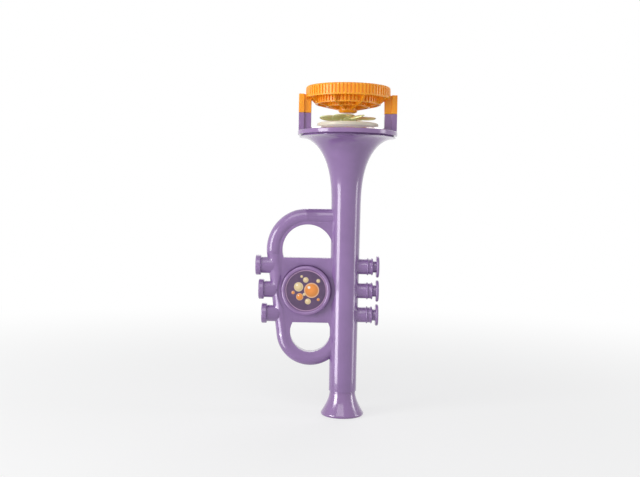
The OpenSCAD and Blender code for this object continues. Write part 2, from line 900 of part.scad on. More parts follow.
// Wire wound on a cone or a cylinder, as one unbroken tube: rings of points along the coil
function coil_point(a, r0, r1, turns, h) =
    let (share = a / (360 * turns), r = lerp(r0, r1, share))
        [r * cos(a), r * sin(a), h * share];
function coil_points(r0, r1, turns, h, wire) = [
    for (i = [0:turns * coil_steps])
        let (
            a = 360 * i / coil_steps,
            p = coil_point(a, r0, r1, turns, h),
            along = unit([-sin(a), cos(a), h / (turns * 360 * lerp(r0, r1, 1 / 2) * PI / 180)]),
            out = [cos(a), sin(a), 0],
            up = cross(out, along)
        )
            for (j = [0:coil_sides - 1])
                let (b = 360 * j / coil_sides) p + wire * (cos(b) * out + sin(b) * up)
];

// Faces of a tube of rings with closed ends
function tube_faces(rings, sides) = concat(
    [
        for (i = [0:rings - 2])
            for (j = [0:sides - 1])
                let (a = i * sides + j, b = i * sides + (j + 1) % sides)
                    each [[a, b, b + sides], [a, b + sides, a + sides]]
    ],
    [
        for (j = [1:sides - 2])
            each [
                [0, j + 1, j],
                [(rings - 1) * sides, (rings - 1) * sides + j, (rings - 1) * sides + j + 1]
            ]
    ]
);

module coil(r0, r1, turns, h, wire) {
    polyhedron(
        points = coil_points(r0, r1, turns, h, wire),
        faces = tube_faces(turns * coil_steps + 1, coil_sides)
    );
}

module button_spring() {
    free_h = plate_in + flange_back - 2 * spring_wire - 2 * seat_gap;
    color("silver") translate([-button_x, plate_in - spring_wire - seat_gap, button_z])
        rotate([90, 0, 0]) coil(spring_r, spring_r, spring_turns, free_h, spring_wire);
}

module contact_bridge() {
    color("gold") translate([
        -button_x + bridge_x - bridge_w / 2, -flange_back, button_z - bridge_len / 2
    ]) cube([bridge_w, metal_t, bridge_len]);
}

// Two strips on the rear half under the ends of the bridge
module switch_contacts() {
    color("gold") for (side = [-1, 1])
        translate([
            -button_x + bridge_x - bridge_w / 2, -contact_y, button_z + side * contact_span - bridge_w / 2
        ]) cube([bridge_w, plate_in + contact_y, bridge_w]);
}

module cell(z) {
    color("darkorange") translate([0, cell_back, z]) {
        cylinder(h = cell_len - nub_h, r = cell_r);
        cylinder(h = cell_len, r = nub_r);
    }
}

module lower_cell() {
    cell(cells_z);
}

module upper_cell() {
    cell(cells_z + cell_len);
}

// Square plate with a tab that the wire is soldered to
module contact_sheet(z, side) {
    half = cell_r - wall;
    reach = bay_notch_x + 2 * wire_r;
    translate([-half, -half, z]) cube([2 * half, 2 * half, metal_t]);
    translate([side > 0 ? 0 : -reach, -tab_w / 2, z]) cube([reach, tab_w, metal_t]);
}

module spring_contact() {
    turns = 3;
    coil_h = contact_len - 2 * spring_wire_r - seat_gap;
    color("silver") {
        contact_sheet(bay_z, 1);
        translate([0, cell_back, bay_z + metal_t + spring_wire_r / 2])
            coil(cell_r - 2 * wall, cell_r / 3, turns, coil_h, spring_wire_r);
    }
}

module plate_contact() {
    color("silver") contact_sheet(bay_top_z - metal_t, -1);
}

// Part of the tube's wall, with a tongue that hooks under the rear half and a screw boss
module battery_door() {
    hook_r = tube_r(door_z) - wall - move_gap;
    boss_y = tube_r(door_screw_z) - wall / 2;
    color("mediumpurple") difference() {
        intersection() {
            union() {
                rotate_extrude() tube_wall_outline(door_z, door_top_z, wall, 0);
                along_y(0, door_screw_z, door_post_y + move_gap, boss_y, door_boss_r);
            }
            door_block(0);
        }
        along_y(0, door_screw_z, 0, 2 * throat_r, screw_r + seat_gap);
        along_y(0, door_screw_z, door_head_y, 2 * throat_r, screw_head_r + 2 * seat_gap);
    }
    color("mediumpurple") intersection() {
        translate([0, 0, door_z - tongue_len]) rotate_extrude() polygon([
            [hook_r - tongue_t, 0], [hook_r, 0], [hook_r, tongue_len],
            [hook_r + wall, tongue_len], [hook_r + wall, tongue_len + wall],
            [hook_r - tongue_t, tongue_len + wall]
        ]);
        translate([-tongue_w / 2, 0, 0]) cube([tongue_w, 2 * throat_r, door_top_z]);
    }
}

module screw(head_y, tip_y) {
    rotate([-90, 0, 0]) {
        translate([0, 0, tip_y]) cylinder(h = head_y - tip_y, r = screw_r);
        difference() {
            translate([0, 0, head_y]) cylinder(h = screw_head_h, r = screw_head_r);
            for (turn = [0, 90])
                rotate([0, 0, turn])
                    translate([-screw_r, -metal_t / 2, head_y + screw_head_h / 2])
                        cube([2 * screw_r, metal_t, screw_head_h]);
        }
    }
}

module door_screw() {
    color("silver") translate([0, 0, door_screw_z]) screw(door_head_y, door_pilot_y + screw_r);
}

module shell_screws() {
    color("silver") for (p = screw_places)
        translate([p[0], 0, p[1]]) screw(head_seat_y, pilot_y + metal_t);
}

// Slots around a ring, equally spaced, cut from outside
module slotted_ring(r, t, z0, z1) {
    count = round(2 * PI * r / slot_pitch / fin_count) * fin_count;
    translate([0, 0, z0]) linear_extrude(z1 - z0) difference() {
        circle(r = r);
        circle(r = r - t);
        for (i = [0:count - 1])
            rotate(360 * (i + 1 / 2) / count) translate([r - slot_d, -slot_w / 2])
                square([slot_d + over, slot_w]);
    }
}

module plain_ring(r, t, z0, z1) {
    translate([0, 0, z0]) linear_extrude(z1 - z0) difference() {
        circle(r = r);
        circle(r = r - t);
    }
}

// Underside of the head at a radius: a bowl between the hub and the outer ring
function bowl_z(r) = lerp(head_z, head_hub_z,
    lookup((r - head_hub_r) / (head_r - head_wall - head_hub_r), bowl_shares));

module head_ring(r, t, z1) {
    plain_ring(r, t, bowl_z(r), bowl_z(r) + slot_foot);
    slotted_ring(r, t, bowl_z(r) + slot_foot, z1);
}

module fin() {
    fin_top_z = head_top_z - 2 * ring_drop;
    root_r = head_hub_r - ring_wall / 2;
    tip_r = head_r - (head_wall + slot_d) / 2;
    rotate([90, 0, 0]) translate([0, 0, -fin_t / 2]) linear_extrude(fin_t) polygon(concat(
        [[root_r, fin_top_z - ring_drop], [root_r, bowl_z(head_hub_r)]],
        [for (s = bowl_shares) let (r = lerp(head_hub_r, head_r - head_wall, s[0])) [r, bowl_z(r)]],
        [[tip_r, head_z], [tip_r, fin_top_z]]
    ));
}

// What the rounded top edge of the outer ring takes away
module head_edge() {
    top_r = head_r - head_edge_in;
    edge_z = head_top_z - head_edge_h;
    rotate_extrude() polygon(concat(
        [
            for (i = [0:edge_steps])
                let (a = 90 * i / edge_steps) [top_r + head_edge_in * cos(a), edge_z + head_edge_h * sin(a)]
        ],
        [[top_r, head_top_z + over], [head_r + over, head_top_z + over], [head_r + over, edge_z]]
    ));
}

// The hub, a plug with a rounded foot just above the fan
module head_hub() {
    rotate_extrude() polygon(concat(
        [[0, head_hub_z]],
        arc([head_hub_r - hub_edge_r, head_hub_z + hub_edge_r], hub_edge_r, -90, 0),
        [[head_hub_r, head_top_z - 2 * ring_drop], [0, head_top_z - 2 * ring_drop]]
    ));
}

module bubble_head() {
    color("orange") difference() {
        union() {
            plain_ring(head_r, head_wall, head_z, head_z + slot_foot);
            difference() {
                slotted_ring(head_r, head_wall, head_z + slot_foot, head_top_z);
                head_edge();
            }
            head_ring(mid_ring_r, ring_wall, head_top_z - ring_drop);
            head_ring(inner_ring_r, ring_wall, head_top_z - ring_drop);
            head_hub();
            for (i = [0:fin_count - 1]) rotate([0, 0, 360 * (i + 1 / 2) / fin_count]) fin();
            for (side = [-1, 1]) clip(side);
        }
        for (side = [-1, 1])
            translate([side * (post_r - post_flange_w / 2), 0, post_top_z])
                cylinder(h = peg_len + seat_gap, r = peg_r + seat_gap);
    }
}

// A clip block continues its post upwards: whole up to the foot of the outer ring, and only
// outside that ring from there on
module clip(side) {
    post(side, post_top_z + seat_gap, head_z + slot_foot);
    difference() {
        post(side, post_top_z + seat_gap, clip_top_z);
        disc(post_top_z, clip_h + over, head_r - head_wall);
    }
}

// Wires follow points chosen by hand, rounded where they bend
function rounded(p, r) = concat(
    [p[0]],
    [
        for (i = [1:len(p) - 2])
            let (
                a = p[i] + min(r, norm(p[i - 1] - p[i]) / 2) * unit(p[i - 1] - p[i]),
                b = p[i] + min(r, norm(p[i + 1] - p[i]) / 2) * unit(p[i + 1] - p[i])
            )
                for (j = [0:bend_steps])
                    let (t = j / bend_steps) lerp(lerp(a, p[i], t), lerp(p[i], b, t), t)
    ],
    [p[len(p) - 1]]
);

// Rings square to the path, kept from twisting by one side that always leans to the rear
function wire_ring(p, i, r) =
    let (
        along = unit(p[min(i + 1, len(p) - 1)] - p[max(i - 1, 0)]),
        side = unit(cross(along, wire_lean)),
        up = cross(side, along)
    )
        [
            for (j = [0:wire_sides - 1])
                let (b = 360 * j / wire_sides) p[i] + r * (cos(b) * side + sin(b) * up)
        ];

module wire(route) {
    path = rounded(route, 4 * wire_r);
    polyhedron(
        points = [for (i = [0:len(path) - 1]) each wire_ring(path, i, wire_r)],
        faces = tube_faces(len(path), wire_sides)
    );
}

module wire_red() {
    color("red") wire([
        [-channel_x, -wire_y, bay_top_z - metal_t - wire_r],
        [-channel_x, -wire_y, button_z + plate_half_h - 3 * wall],
        [web_x, wire_y, button_z + plate_half_h - 4 * wall],
        [contact_x + 2 * wall, deep_y, button_z + contact_span + wall],
        [contact_x, deep_y, button_z + contact_span]
    ]);
}

module wire_blue() {
    color("royalblue") wire([
        [contact_x, deep_y, button_z - contact_span],
        [contact_x + 2 * wall, deep_y, button_z - contact_span],
        [web_x, deep_y, button_z + contact_span],
        [web_x, 2 * wire_y, button_z + plate_half_h - 6 * wall],
        [-channel_x, 2 * wire_y, button_z + plate_half_h - 2 * wall],
        [-channel_x, 2 * wire_y, tube_top_z],
        [-terminal_x, metal_t / 2 + wire_r + seat_gap, terminal_z - wall],
        [-terminal_x, metal_t / 2 + wire_r + seat_gap, terminal_z + wall]
    ]);
}

module wire_black() {
    color("dimgray") wire([
        [channel_x, 0, bay_z + metal_t + seat_gap],
        [channel_x, 0, tube_top_z],
        [terminal_x, metal_t / 2 + wire_r + seat_gap, terminal_z - wall],
        [terminal_x, metal_t / 2 + wire_r + seat_gap, terminal_z + wall]
    ]);
}

front_shell();
rear_shell();
rim_ring();
mouthpiece();
platform();
bubble_head();
fan();
motor_shaft();
motor_can();
motor_end_cap();
motor_terminals();
thumb_button();
button_label();
button_spring();
contact_bridge();
switch_contacts();
lower_cell();
upper_cell();
spring_contact();
plate_contact();
battery_door();
door_screw();
shell_screws();
wire_red();
wire_black();
wire_blue();
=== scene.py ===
# %% [markdown]
# # Bubble blower trumpet
# A toy trumpet in lilac plastic. A thumb button in the loop runs a small fan above the
# bell, and the fan blows through an orange head of slotted rings that holds the liquid.
# The solid model is loaded as a fixed frame, in metres: its pieces have their real
# sizes, and this script gives them soft edges, finishes, a printed label and light.

import math

import bmesh
import bpy
import numpy as np
from mathutils import Matrix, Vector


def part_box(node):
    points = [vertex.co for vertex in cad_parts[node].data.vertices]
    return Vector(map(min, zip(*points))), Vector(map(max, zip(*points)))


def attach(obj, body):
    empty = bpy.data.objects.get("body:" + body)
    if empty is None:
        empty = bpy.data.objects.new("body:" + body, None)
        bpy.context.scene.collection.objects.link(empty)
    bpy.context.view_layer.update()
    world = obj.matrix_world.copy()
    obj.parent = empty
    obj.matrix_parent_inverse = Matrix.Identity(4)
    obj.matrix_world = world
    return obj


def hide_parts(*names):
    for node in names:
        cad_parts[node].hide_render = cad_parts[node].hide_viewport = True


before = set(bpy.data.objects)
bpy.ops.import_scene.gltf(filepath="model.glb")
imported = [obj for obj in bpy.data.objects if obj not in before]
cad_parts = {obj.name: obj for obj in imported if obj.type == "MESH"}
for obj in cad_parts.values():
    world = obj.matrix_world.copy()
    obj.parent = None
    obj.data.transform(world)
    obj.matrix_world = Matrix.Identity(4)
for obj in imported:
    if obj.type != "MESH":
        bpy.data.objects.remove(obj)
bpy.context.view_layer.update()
MM = 0.001

# %% [markdown]
# ## Camera
# The picture was taken from about 66 cm in front of the tube, a little to its left: the
# flat curves of the bell's rim and of the mouthpiece put the eye 16 cm up, from where it
# looks slightly down. One pixel covers 0.75 mm at the tube, which fixes the lens, and
# the trumpet leans one degree to the right, so the camera is rolled by that angle.

# %% Camera
PICTURE_WIDTH_PX = 640
SENSOR_WIDTH_MM = 36
NEAREST = 10 * MM
VIEW_DISTANCE = 663 * MM
EYE_HEIGHT = 159 * MM
MM_PER_PIXEL = 0.75
LEAN = 0.018812
VIEW_CENTRE = np.array([-19.02, 0, 132.64]) * MM


def stand(thing, right, up, back, place):
    """Links an object at a place, with its own axes turned to right, up and back."""
    bpy.context.scene.collection.objects.link(thing)
    pose = Matrix(np.column_stack([right, up, back]).tolist()).to_4x4()
    pose.translation = place
    thing.matrix_world = pose


look_down = math.atan2(EYE_HEIGHT - VIEW_CENTRE[2], VIEW_DISTANCE)
right = np.array([1, 0, LEAN]) / math.hypot(1, LEAN)
level_up = np.array([-LEAN, 0, 1]) / math.hypot(1, LEAN)
back = np.array([0, -1, 0]) * math.cos(look_down) + level_up * math.sin(look_down)
lens = bpy.data.cameras.new("camera")
lens.sensor_width = SENSOR_WIDTH_MM
lens.lens = VIEW_DISTANCE / MM / MM_PER_PIXEL * SENSOR_WIDTH_MM / PICTURE_WIDTH_PX
lens.clip_start = NEAREST
camera = bpy.data.objects.new("camera", lens)
stand(camera, right, np.cross(back, right), back, VIEW_CENTRE + back * VIEW_DISTANCE)
bpy.context.scene.camera = camera
print("lens", round(lens.lens, 2), "mm")

# %% [markdown]
# ## A small language for finishes
# A finish is a sum of a few ideas: a colour that drifts, a gloss that changes, a grain
# that is felt more than seen. Written as nodes by hand it is a tangle, so one class wraps
# a node's output and lets Python's own signs build the Math nodes. A recipe owns a tree
# of nodes and adds every other kind, and a finish is a recipe with a shader to feed.


# %% Values that can be added and multiplied
class Value:
    """A node's output that answers to + - * /, to higher and to ramp."""

    def __init__(self, recipe, socket):
        self.recipe = recipe
        self.socket = socket

    def _math(self, operation, *terms):
        return self.recipe.node("ShaderNodeMath", {"operation": operation}, *terms)

    def __add__(self, other):
        return self._math("ADD", self, other)

    def __sub__(self, other):
        return self._math("SUBTRACT", self, other)

    def __mul__(self, other):
        return self._math("MULTIPLY", self, other)

    def __truediv__(self, other):
        return self._math("DIVIDE", self, other)

    def __rsub__(self, other):
        return self._math("SUBTRACT", other, self)

    def __rtruediv__(self, other):
        return self._math("DIVIDE", other, self)

    __radd__ = __add__
    __rmul__ = __mul__

    def higher(self, other):
        """The larger of the two."""
        return self._math("MAXIMUM", self, other)

    def ramp(self, low, high):
        """0 below low, 1 above high, and a smooth rise between them."""
        smooth = {"interpolation_type": "SMOOTHSTEP"}
        return self.recipe.node("ShaderNodeMapRange", smooth, self, low, high, 0.0, 1.0)


# %% Recipes and finishes
class Recipe:
    """A tree of nodes, and the one way in which a node is added to it."""

    def __init__(self, tree):
        self.tree = tree

    def plug(self, socket, value):
        """Links a Value to a socket, or writes a number, colour or vector into it."""
        if isinstance(value, Value):
            self.tree.links.new(value.socket, socket)
        elif value is not None:
            socket.default_value = value

    def node(self, kind, settings, *values, output=0, **named):
        """One node: its settings first, then its sockets in order, then some by name."""
        made = self.tree.nodes.new(kind)
        for key, value in settings.items():
            setattr(made, key, value)
        for index, value in enumerate(values):
            self.plug(made.inputs[index], value)
        for name, value in named.items():
            self.plug(made.inputs[name.replace("_", " ")], value)
        return Value(self, made.outputs[output])

    def mix(self, amount, first, second):
        """A colour that goes from first to second as amount goes from 0 to 1. The node's
        sockets 1 to 5 are for numbers and vectors, and its output 2 is the colour."""
        colours = [None] * 5 + [first, second]
        return self.node("ShaderNodeMix", {"data_type": "RGBA"}, amount, *colours, output=2)


class Finish(Recipe):
    """A material with one Principled shader, and the patterns that feed it."""

    def __init__(self, name):
        self.material = bpy.data.materials.new(name)
        self.material.use_nodes = True
        super().__init__(self.material.node_tree)
        self.shader = self.tree.nodes["Principled BSDF"]
        self.place = self.node("ShaderNodeTexCoord", {}, output="Object")

    def set(self, **sockets):
        """Sets the shader's own sockets, such as Roughness or Base_Color."""
        for name, value in sockets.items():
            self.plug(self.shader.inputs[name.replace("_", " ")], value)

    def noise(self, size, detail=2.0, where=None):
        """Noise around 0.5 whose lumps are about size metres across."""
        where = where or self.place
        return self.node("ShaderNodeTexNoise", {}, where, Scale=1 / size, Detail=detail)

    def bump(self, height, depth):
        """A normal from a height between 0 and 1 that stands for depth metres."""
        return self.node("ShaderNodeBump", {}, Strength=1.0, Distance=depth, Height=height)


def rgb(red, green, blue):
    return (red, green, blue, 1.0)


def scaled(colour, factor):
    """A colour made darker or lighter, up to full brightness."""
    return rgb(*(min(1.0, c * factor) for c in colour[:3]))


# %% [markdown]
# ## Moulded plastic
# The body is polypropylene straight from the mould: one colour right through, with faint
# clouds where the melt flowed, a gloss that is a little uneven, and a very fine skin that
# breaks the edge of each reflection. Colour, roughness and a bump of a few hundredths
# of a millimetre follow noises of different sizes.


# %% Moulded plastic
CLOUD_SIZE = 18 * MM
CLOUD_SPAN = (0.3, 0.7)
CLOUD_DARK, CLOUD_LIGHT = 0.94, 1.05
CLOUD_ROUGHNESS = 0.05
MOTTLE_ROUGHNESS = 0.06
GRAIN_SIZE = 0.35 * MM
GRAIN_SHARE = 0.12
SKIN_DEPTH = 0.035 * MM
COAT_ROUGHNESS = 0.05
GLOW_RADIUS = (1.0, 0.5, 0.2)
GLOW_DEPTH = 1.5 * MM


def moulded_plastic(name, colour, roughness, gloss, glow=0.0):
    """Plastic whose tint follows slow clouds, whose roughness follows the same clouds and
    a finer mottle, and whose skin is a fine grain over slow waves."""
    finish = Finish(name)
    clouds = finish.noise(CLOUD_SIZE, 3.0)
    mottle = finish.noise(CLOUD_SIZE / 6)
    grain = finish.noise(GRAIN_SIZE)
    waves = finish.noise(CLOUD_SIZE / 2, 1.0)
    uneven = (clouds - 0.5) * CLOUD_ROUGHNESS
    tint = clouds.ramp(*CLOUD_SPAN)
    finish.set(
        Base_Color=finish.mix(tint, scaled(colour, CLOUD_DARK), scaled(colour, CLOUD_LIGHT)),
        Roughness=roughness + uneven + (mottle - 0.5) * MOTTLE_ROUGHNESS,
        Normal=finish.bump(grain * GRAIN_SHARE + waves * (1 - GRAIN_SHARE), SKIN_DEPTH),
        Coat_Weight=gloss,
        Coat_Roughness=COAT_ROUGHNESS,
    )
    if glow:
        finish.set(
            Subsurface_Weight=glow,
            Subsurface_Radius=GLOW_RADIUS,
            Subsurface_Scale=GLOW_DEPTH,
        )
    return finish.material


LILAC = rgb(0.257, 0.147, 0.345)
ORCHID = rgb(0.265, 0.145, 0.345)
ORANGE = rgb(0.98, 0.37, 0.012)
CREAM = rgb(0.74, 0.69, 0.54)
LIME = rgb(0.86, 0.90, 0.46)
NYLON = rgb(0.78, 0.77, 0.73)

lilac_plastic = moulded_plastic("lilac_plastic", LILAC, 0.2, gloss=0.6)
orchid_plastic = moulded_plastic("orchid_plastic", ORCHID, 0.18, gloss=0.6)
orange_plastic = moulded_plastic("orange_plastic", ORANGE, 0.3, gloss=0.0, glow=0.3)
cream_plastic = moulded_plastic("cream_plastic", CREAM, 0.34, gloss=0.1, glow=0.1)
lime_plastic = moulded_plastic("lime_plastic", LIME, 0.3, gloss=0.1, glow=0.2)
nylon = moulded_plastic("nylon", NYLON, 0.5, gloss=0.0)
print("plastics:", [material.name for material in bpy.data.materials])

# %% [markdown]
# ## Metal, wire and cell jackets
# The steel parts are plated, so they are bright with fine streaks along their length. The
# cells' jackets are printed steel: a coloured band, a pale band and bare metal at the
# ends. All of them sit inside the tube and show only with the battery door open.


# %% Metal and wire
SHADED = 0.8
STREAK_SIZE = 2 * MM
STREAK_STRETCH = (9.0, 9.0, 1.0)
STREAK_ROUGHNESS = 0.15
METAL_DEPTH = 0.01 * MM
WIRE_CLOUD = 3 * MM
WIRE_LIT = 1.1
WIRE_ROUGHNESS, WIRE_UNEVEN = 0.45, 0.1
WIRE_DEPTH = 0.02 * MM


def streaked_metal(name, colour, roughness):
    """Plated metal: a long thin noise makes the streaks, and darkens the colour in them."""
    finish = Finish(name)
    stretched = finish.node("ShaderNodeMapping", {}, finish.place, Scale=STREAK_STRETCH)
    streaks = finish.noise(STREAK_SIZE, 4.0, stretched)
    finish.set(
        Base_Color=finish.mix(streaks, scaled(colour, SHADED), colour),
        Roughness=roughness + (streaks - 0.5) * STREAK_ROUGHNESS,
        Metallic=1.0,
        Normal=finish.bump(streaks, METAL_DEPTH),
    )
    return finish.material


def rubber_skin(name, colour):
    """Soft insulation: dull, with a faint cloudiness."""
    finish = Finish(name)
    clouds = finish.noise(WIRE_CLOUD)
    finish.set(
        Base_Color=finish.mix(clouds, scaled(colour, SHADED), scaled(colour, WIRE_LIT)),
        Roughness=WIRE_ROUGHNESS + (clouds - 0.5) * WIRE_UNEVEN,
        Normal=finish.bump(clouds, WIRE_DEPTH),
    )
    return finish.material


steel = streaked_metal("steel", rgb(0.62, 0.62, 0.63), 0.28)
brass = streaked_metal("brass", rgb(0.80, 0.58, 0.26), 0.3)
red_skin = rubber_skin("red_skin", rgb(0.55, 0.03, 0.03))
black_skin = rubber_skin("black_skin", rgb(0.03, 0.03, 0.03))
blue_skin = rubber_skin("blue_skin", rgb(0.05, 0.14, 0.45))
print("metals and skins:", steel.name, brass.name, red_skin.name)

# %% Cell jackets
JACKET_GREEN = rgb(0.03, 0.16, 0.11)
JACKET_PALE = rgb(0.62, 0.60, 0.55)
JACKET_BARE = rgb(0.62, 0.61, 0.60)

# Where the print starts, turns pale and ends, as shares of a cell's length
PRINT_FOOT = (0.012, 0.016)
PRINT_BAND = (0.70, 0.703)
PRINT_END = (0.955, 0.959)
SCUFF_SIZE = 1.2 * MM
SCUFF_SPAN = (0.62, 0.72)
JACKET_ROUGHNESS, SCUFF_ROUGHNESS = 0.24, 0.16


def cell_jacket(name, foot_z, length):
    """Printed jacket: bands of colour along the cell's height, bare metal at both ends."""
    finish = Finish(name)
    height = finish.node("ShaderNodeSeparateXYZ", {}, finish.place, output="Z")
    share = (height - foot_z) / length
    printed = share.ramp(*PRINT_FOOT) * (1 - share.ramp(*PRINT_END))
    scuffs = finish.noise(SCUFF_SIZE, 4.0).ramp(*SCUFF_SPAN)
    jacket = finish.mix(share.ramp(*PRINT_BAND), JACKET_GREEN, JACKET_PALE)
    finish.set(
        Base_Color=finish.mix(printed, JACKET_BARE, jacket),
        Metallic=1 - printed,
        Roughness=JACKET_ROUGHNESS + scuffs * SCUFF_ROUGHNESS,
        Normal=finish.bump(scuffs, METAL_DEPTH),
    )
    return finish.material


jackets = {}
for cell in ("lower_cell", "upper_cell"):
    low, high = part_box(cell)
    jackets[cell] = cell_jacket(cell + "_jacket", low.z, high.z - low.z)
print("jackets:", list(jackets))

# %% [markdown]
# ## Soft edges for the shell
# No moulded edge is sharp: light catches a thin line along each one. The solid model
# holds true edges, so the two halves and the battery door are copied, their loose triangles
# are joined, flat areas are melted into whole faces, and a Bevel modifier rounds every edge
# by a few tenths of a millimetre. The copy then stands for its node.

# %% Softened copies
MERGE_GAP = 0.002 * MM
FLAT_ANGLE = math.radians(0.1)
EDGE_ANGLE = math.radians(33)
EDGE_SEGMENTS = 2


def put(name, mesh, material, slot, body, *nodes):
    """Links a finished mesh as a piece that rides on a body and stands for some nodes."""
    piece = bpy.data.objects.new(name, mesh)
    bpy.context.scene.collection.objects.link(piece)
    mesh.materials.clear()
    mesh.materials.append(material)
    if nodes:
        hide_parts(*nodes)
    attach(piece, body)
    return piece


def smooth_mesh(mesh, made):
    """Writes a working mesh into a mesh that is kept, with smooth shading."""
    made.to_mesh(mesh)
    made.free()
    mesh.polygons.foreach_set("use_smooth", [True] * len(mesh.polygons))
    return mesh


def joined_mesh(node):
    """A node's triangles with their doubles merged and its flat areas made whole faces."""
    made = bmesh.new()
    made.from_mesh(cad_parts[node].data)
    bmesh.ops.remove_doubles(made, verts=made.verts, dist=MERGE_GAP)
    bmesh.ops.dissolve_limit(
        made, angle_limit=FLAT_ANGLE, verts=made.verts, edges=made.edges
    )
    return smooth_mesh(bpy.data.meshes.new(node + "_soft"), made)


def round_edges(piece, width):
    """Rounds the piece's edges that are sharper than the edge angle."""
    bevel = piece.modifiers.new("soft edges", "BEVEL")
    bevel.width = width
    bevel.segments = EDGE_SEGMENTS
    bevel.limit_method = "ANGLE"
    bevel.angle_limit = EDGE_ANGLE
    bevel.harden_normals = True
    bevel.miter_outer = "MITER_ARC"
    return piece


# %% [markdown]
# ## The true skin of the tube and the bell
# The solid's bell is a stack of short cones, which a reflection would show as bands. So
# the soft copies keep their shape, but their normals are turned to those of the true
# curve: for a skin of radius r(z) they point along (x / r, y / r, -r').

# %% Skin of the tube and the bell
throat_r = 11 * MM
grip_r = 10.3 * MM
grip_top_z = 35.6 * MM
tube_foot_z = 18.6 * MM
bell_foot_z = 154 * MM
bell_h = 54.2 * MM
bell_r = 36 * MM
FLARE_POWER = 2.7
SKIN_GAP = 0.03 * MM
SKIN_TURN = math.cos(math.radians(14))


def skin_radius(z):
    """Radius of the main tube and the bell at a height: a grip, a slow taper, and the bell
    bell_r - (bell_r - throat_r) sqrt(1 - t^p), with t the share of the bell's height."""
    t = np.clip((z - bell_foot_z) / bell_h, 0, 1)
    tube = np.interp(z, [grip_top_z, bell_foot_z], [grip_r, throat_r])
    bell = bell_r - (bell_r - throat_r) * np.sqrt(1 - t**FLARE_POWER)
    return np.where(z < bell_foot_z, tube, bell)


def column(things, name, width=1, kind=float):
    """One property of a mesh's corners, faces or points, width numbers to a row."""
    values = np.empty(len(things) * width, kind)
    things.foreach_get(name, values)
    return values.reshape(-1, width) if width > 1 else values


def true_normals(piece):
    """Makes the soft edges final, then gives each corner that lies on the main tube's skin,
    on a face that looks along it, the skin's own normal."""
    solid = piece.evaluated_get(bpy.context.evaluated_depsgraph_get())
    mesh = bpy.data.meshes.new_from_object(solid)
    piece.modifiers.clear()
    piece.data = mesh
    normal = column(mesh.corner_normals, "vector", 3)
    corner_counts = column(mesh.polygons, "loop_total", kind=int)
    facing = np.repeat(column(mesh.polygons, "normal", 3), corner_counts, axis=0)
    x, y, z = column(mesh.vertices, "co", 3)[column(mesh.loops, "vertex_index", kind=int)].T
    r = np.maximum(np.hypot(x, y), SKIN_GAP)
    slope = (skin_radius(z + SKIN_GAP) - skin_radius(z - SKIN_GAP)) / (2 * SKIN_GAP)
    skin = np.column_stack([x / r, y / r, -slope])
    skin /= np.linalg.norm(skin, axis=1)[:, None]
    on_skin = abs(r - skin_radius(z)) < SKIN_GAP
    on_skin &= (z > tube_foot_z) & (z < bell_foot_z + bell_h - SKIN_GAP)
    on_skin &= (facing * skin).sum(axis=1) > SKIN_TURN
    normal[on_skin] = skin[on_skin]
    mesh.normals_split_custom_set(normal.tolist())
    return int(on_skin.sum())


# %% Shell halves and battery door
SHELL_EDGE = 0.35 * MM
DOOR_EDGE = 0.2 * MM
for node, body, width in (
    ("front_shell", "trumpet", SHELL_EDGE),
    ("rear_shell", "trumpet", SHELL_EDGE),
    ("battery_door", "door", DOOR_EDGE),
):
    copy = put(node + "_piece", joined_mesh(node), lilac_plastic, "lilac", body, node)
    round_edges(copy, width)
    print(copy.name, true_normals(copy), "corners on the skin")

# %% [markdown]
# ## Surfaces from formulas
# All other visible pieces are turned or swept shapes that are easier to state than to
# sculpt. A grid of points is worked out as whole arrays, and one helper turns any such
# grid, or several of them, into a closed mesh.


# %% Grids into meshes
def grid_faces(rows, columns, start=0, wrap=False, flip=False):
    """Quads between neighbouring rows and columns; wrap joins the last column to the first."""
    row, along = np.meshgrid(
        np.arange(rows - 1), np.arange(columns - (not wrap)), indexing="ij"
    )
    beside = (along + 1) % columns
    this_row, next_row = row * columns, (row + 1) * columns
    quads = np.stack(
        [this_row + along, this_row + beside, next_row + beside, next_row + along], axis=-1
    ).reshape(-1, 4)
    return (quads[:, ::-1] if flip else quads) + start


def mesh_from(name, points, faces):
    """A smooth mesh whose doubled points are merged and whose faces point outwards."""
    made = bmesh.new()
    mesh = bpy.data.meshes.new(name)
    places = np.asarray(points).reshape(-1, 3).tolist()
    mesh.from_pydata(places, [], [list(face) for face in faces])
    made.from_mesh(mesh)
    bmesh.ops.remove_doubles(made, verts=made.verts, dist=MERGE_GAP)
    bmesh.ops.dissolve_degenerate(made, edges=made.edges, dist=MERGE_GAP)
    bmesh.ops.recalc_face_normals(made, faces=made.faces)
    return smooth_mesh(mesh, made)


def turned(profile, steps):
    """Points and faces of a closed outline of (radius, height) carried once around +Z."""
    outline = np.asarray(profile, float)
    angle = np.linspace(0, 2 * np.pi, steps, endpoint=False)
    radius, height = outline[:, :1], outline[:, 1:]
    points = np.stack(
        [radius * np.cos(angle), radius * np.sin(angle), height + 0 * angle], axis=-1
    )
    return points.reshape(-1, 3), grid_faces(len(outline), steps, wrap=True)


def quarter(centre_r, centre_z, wide, tall, start, steps=3):
    """A quarter of an ellipse about a centre, counterclockwise from an angle in degrees."""
    turn = np.radians(np.linspace(start, start + 90, steps + 1))
    return np.column_stack([centre_r + wide * np.cos(turn), centre_z + tall * np.sin(turn)])


def gathered(parts):
    """Several (points, faces) pairs as one, with the faces' numbers moved on."""
    points, faces, start = [], [], 0
    for part_points, part_faces in parts:
        points.append(part_points)
        faces += [[i + start for i in face] for face in part_faces]
        start += len(part_points)
    return np.vstack(points), faces


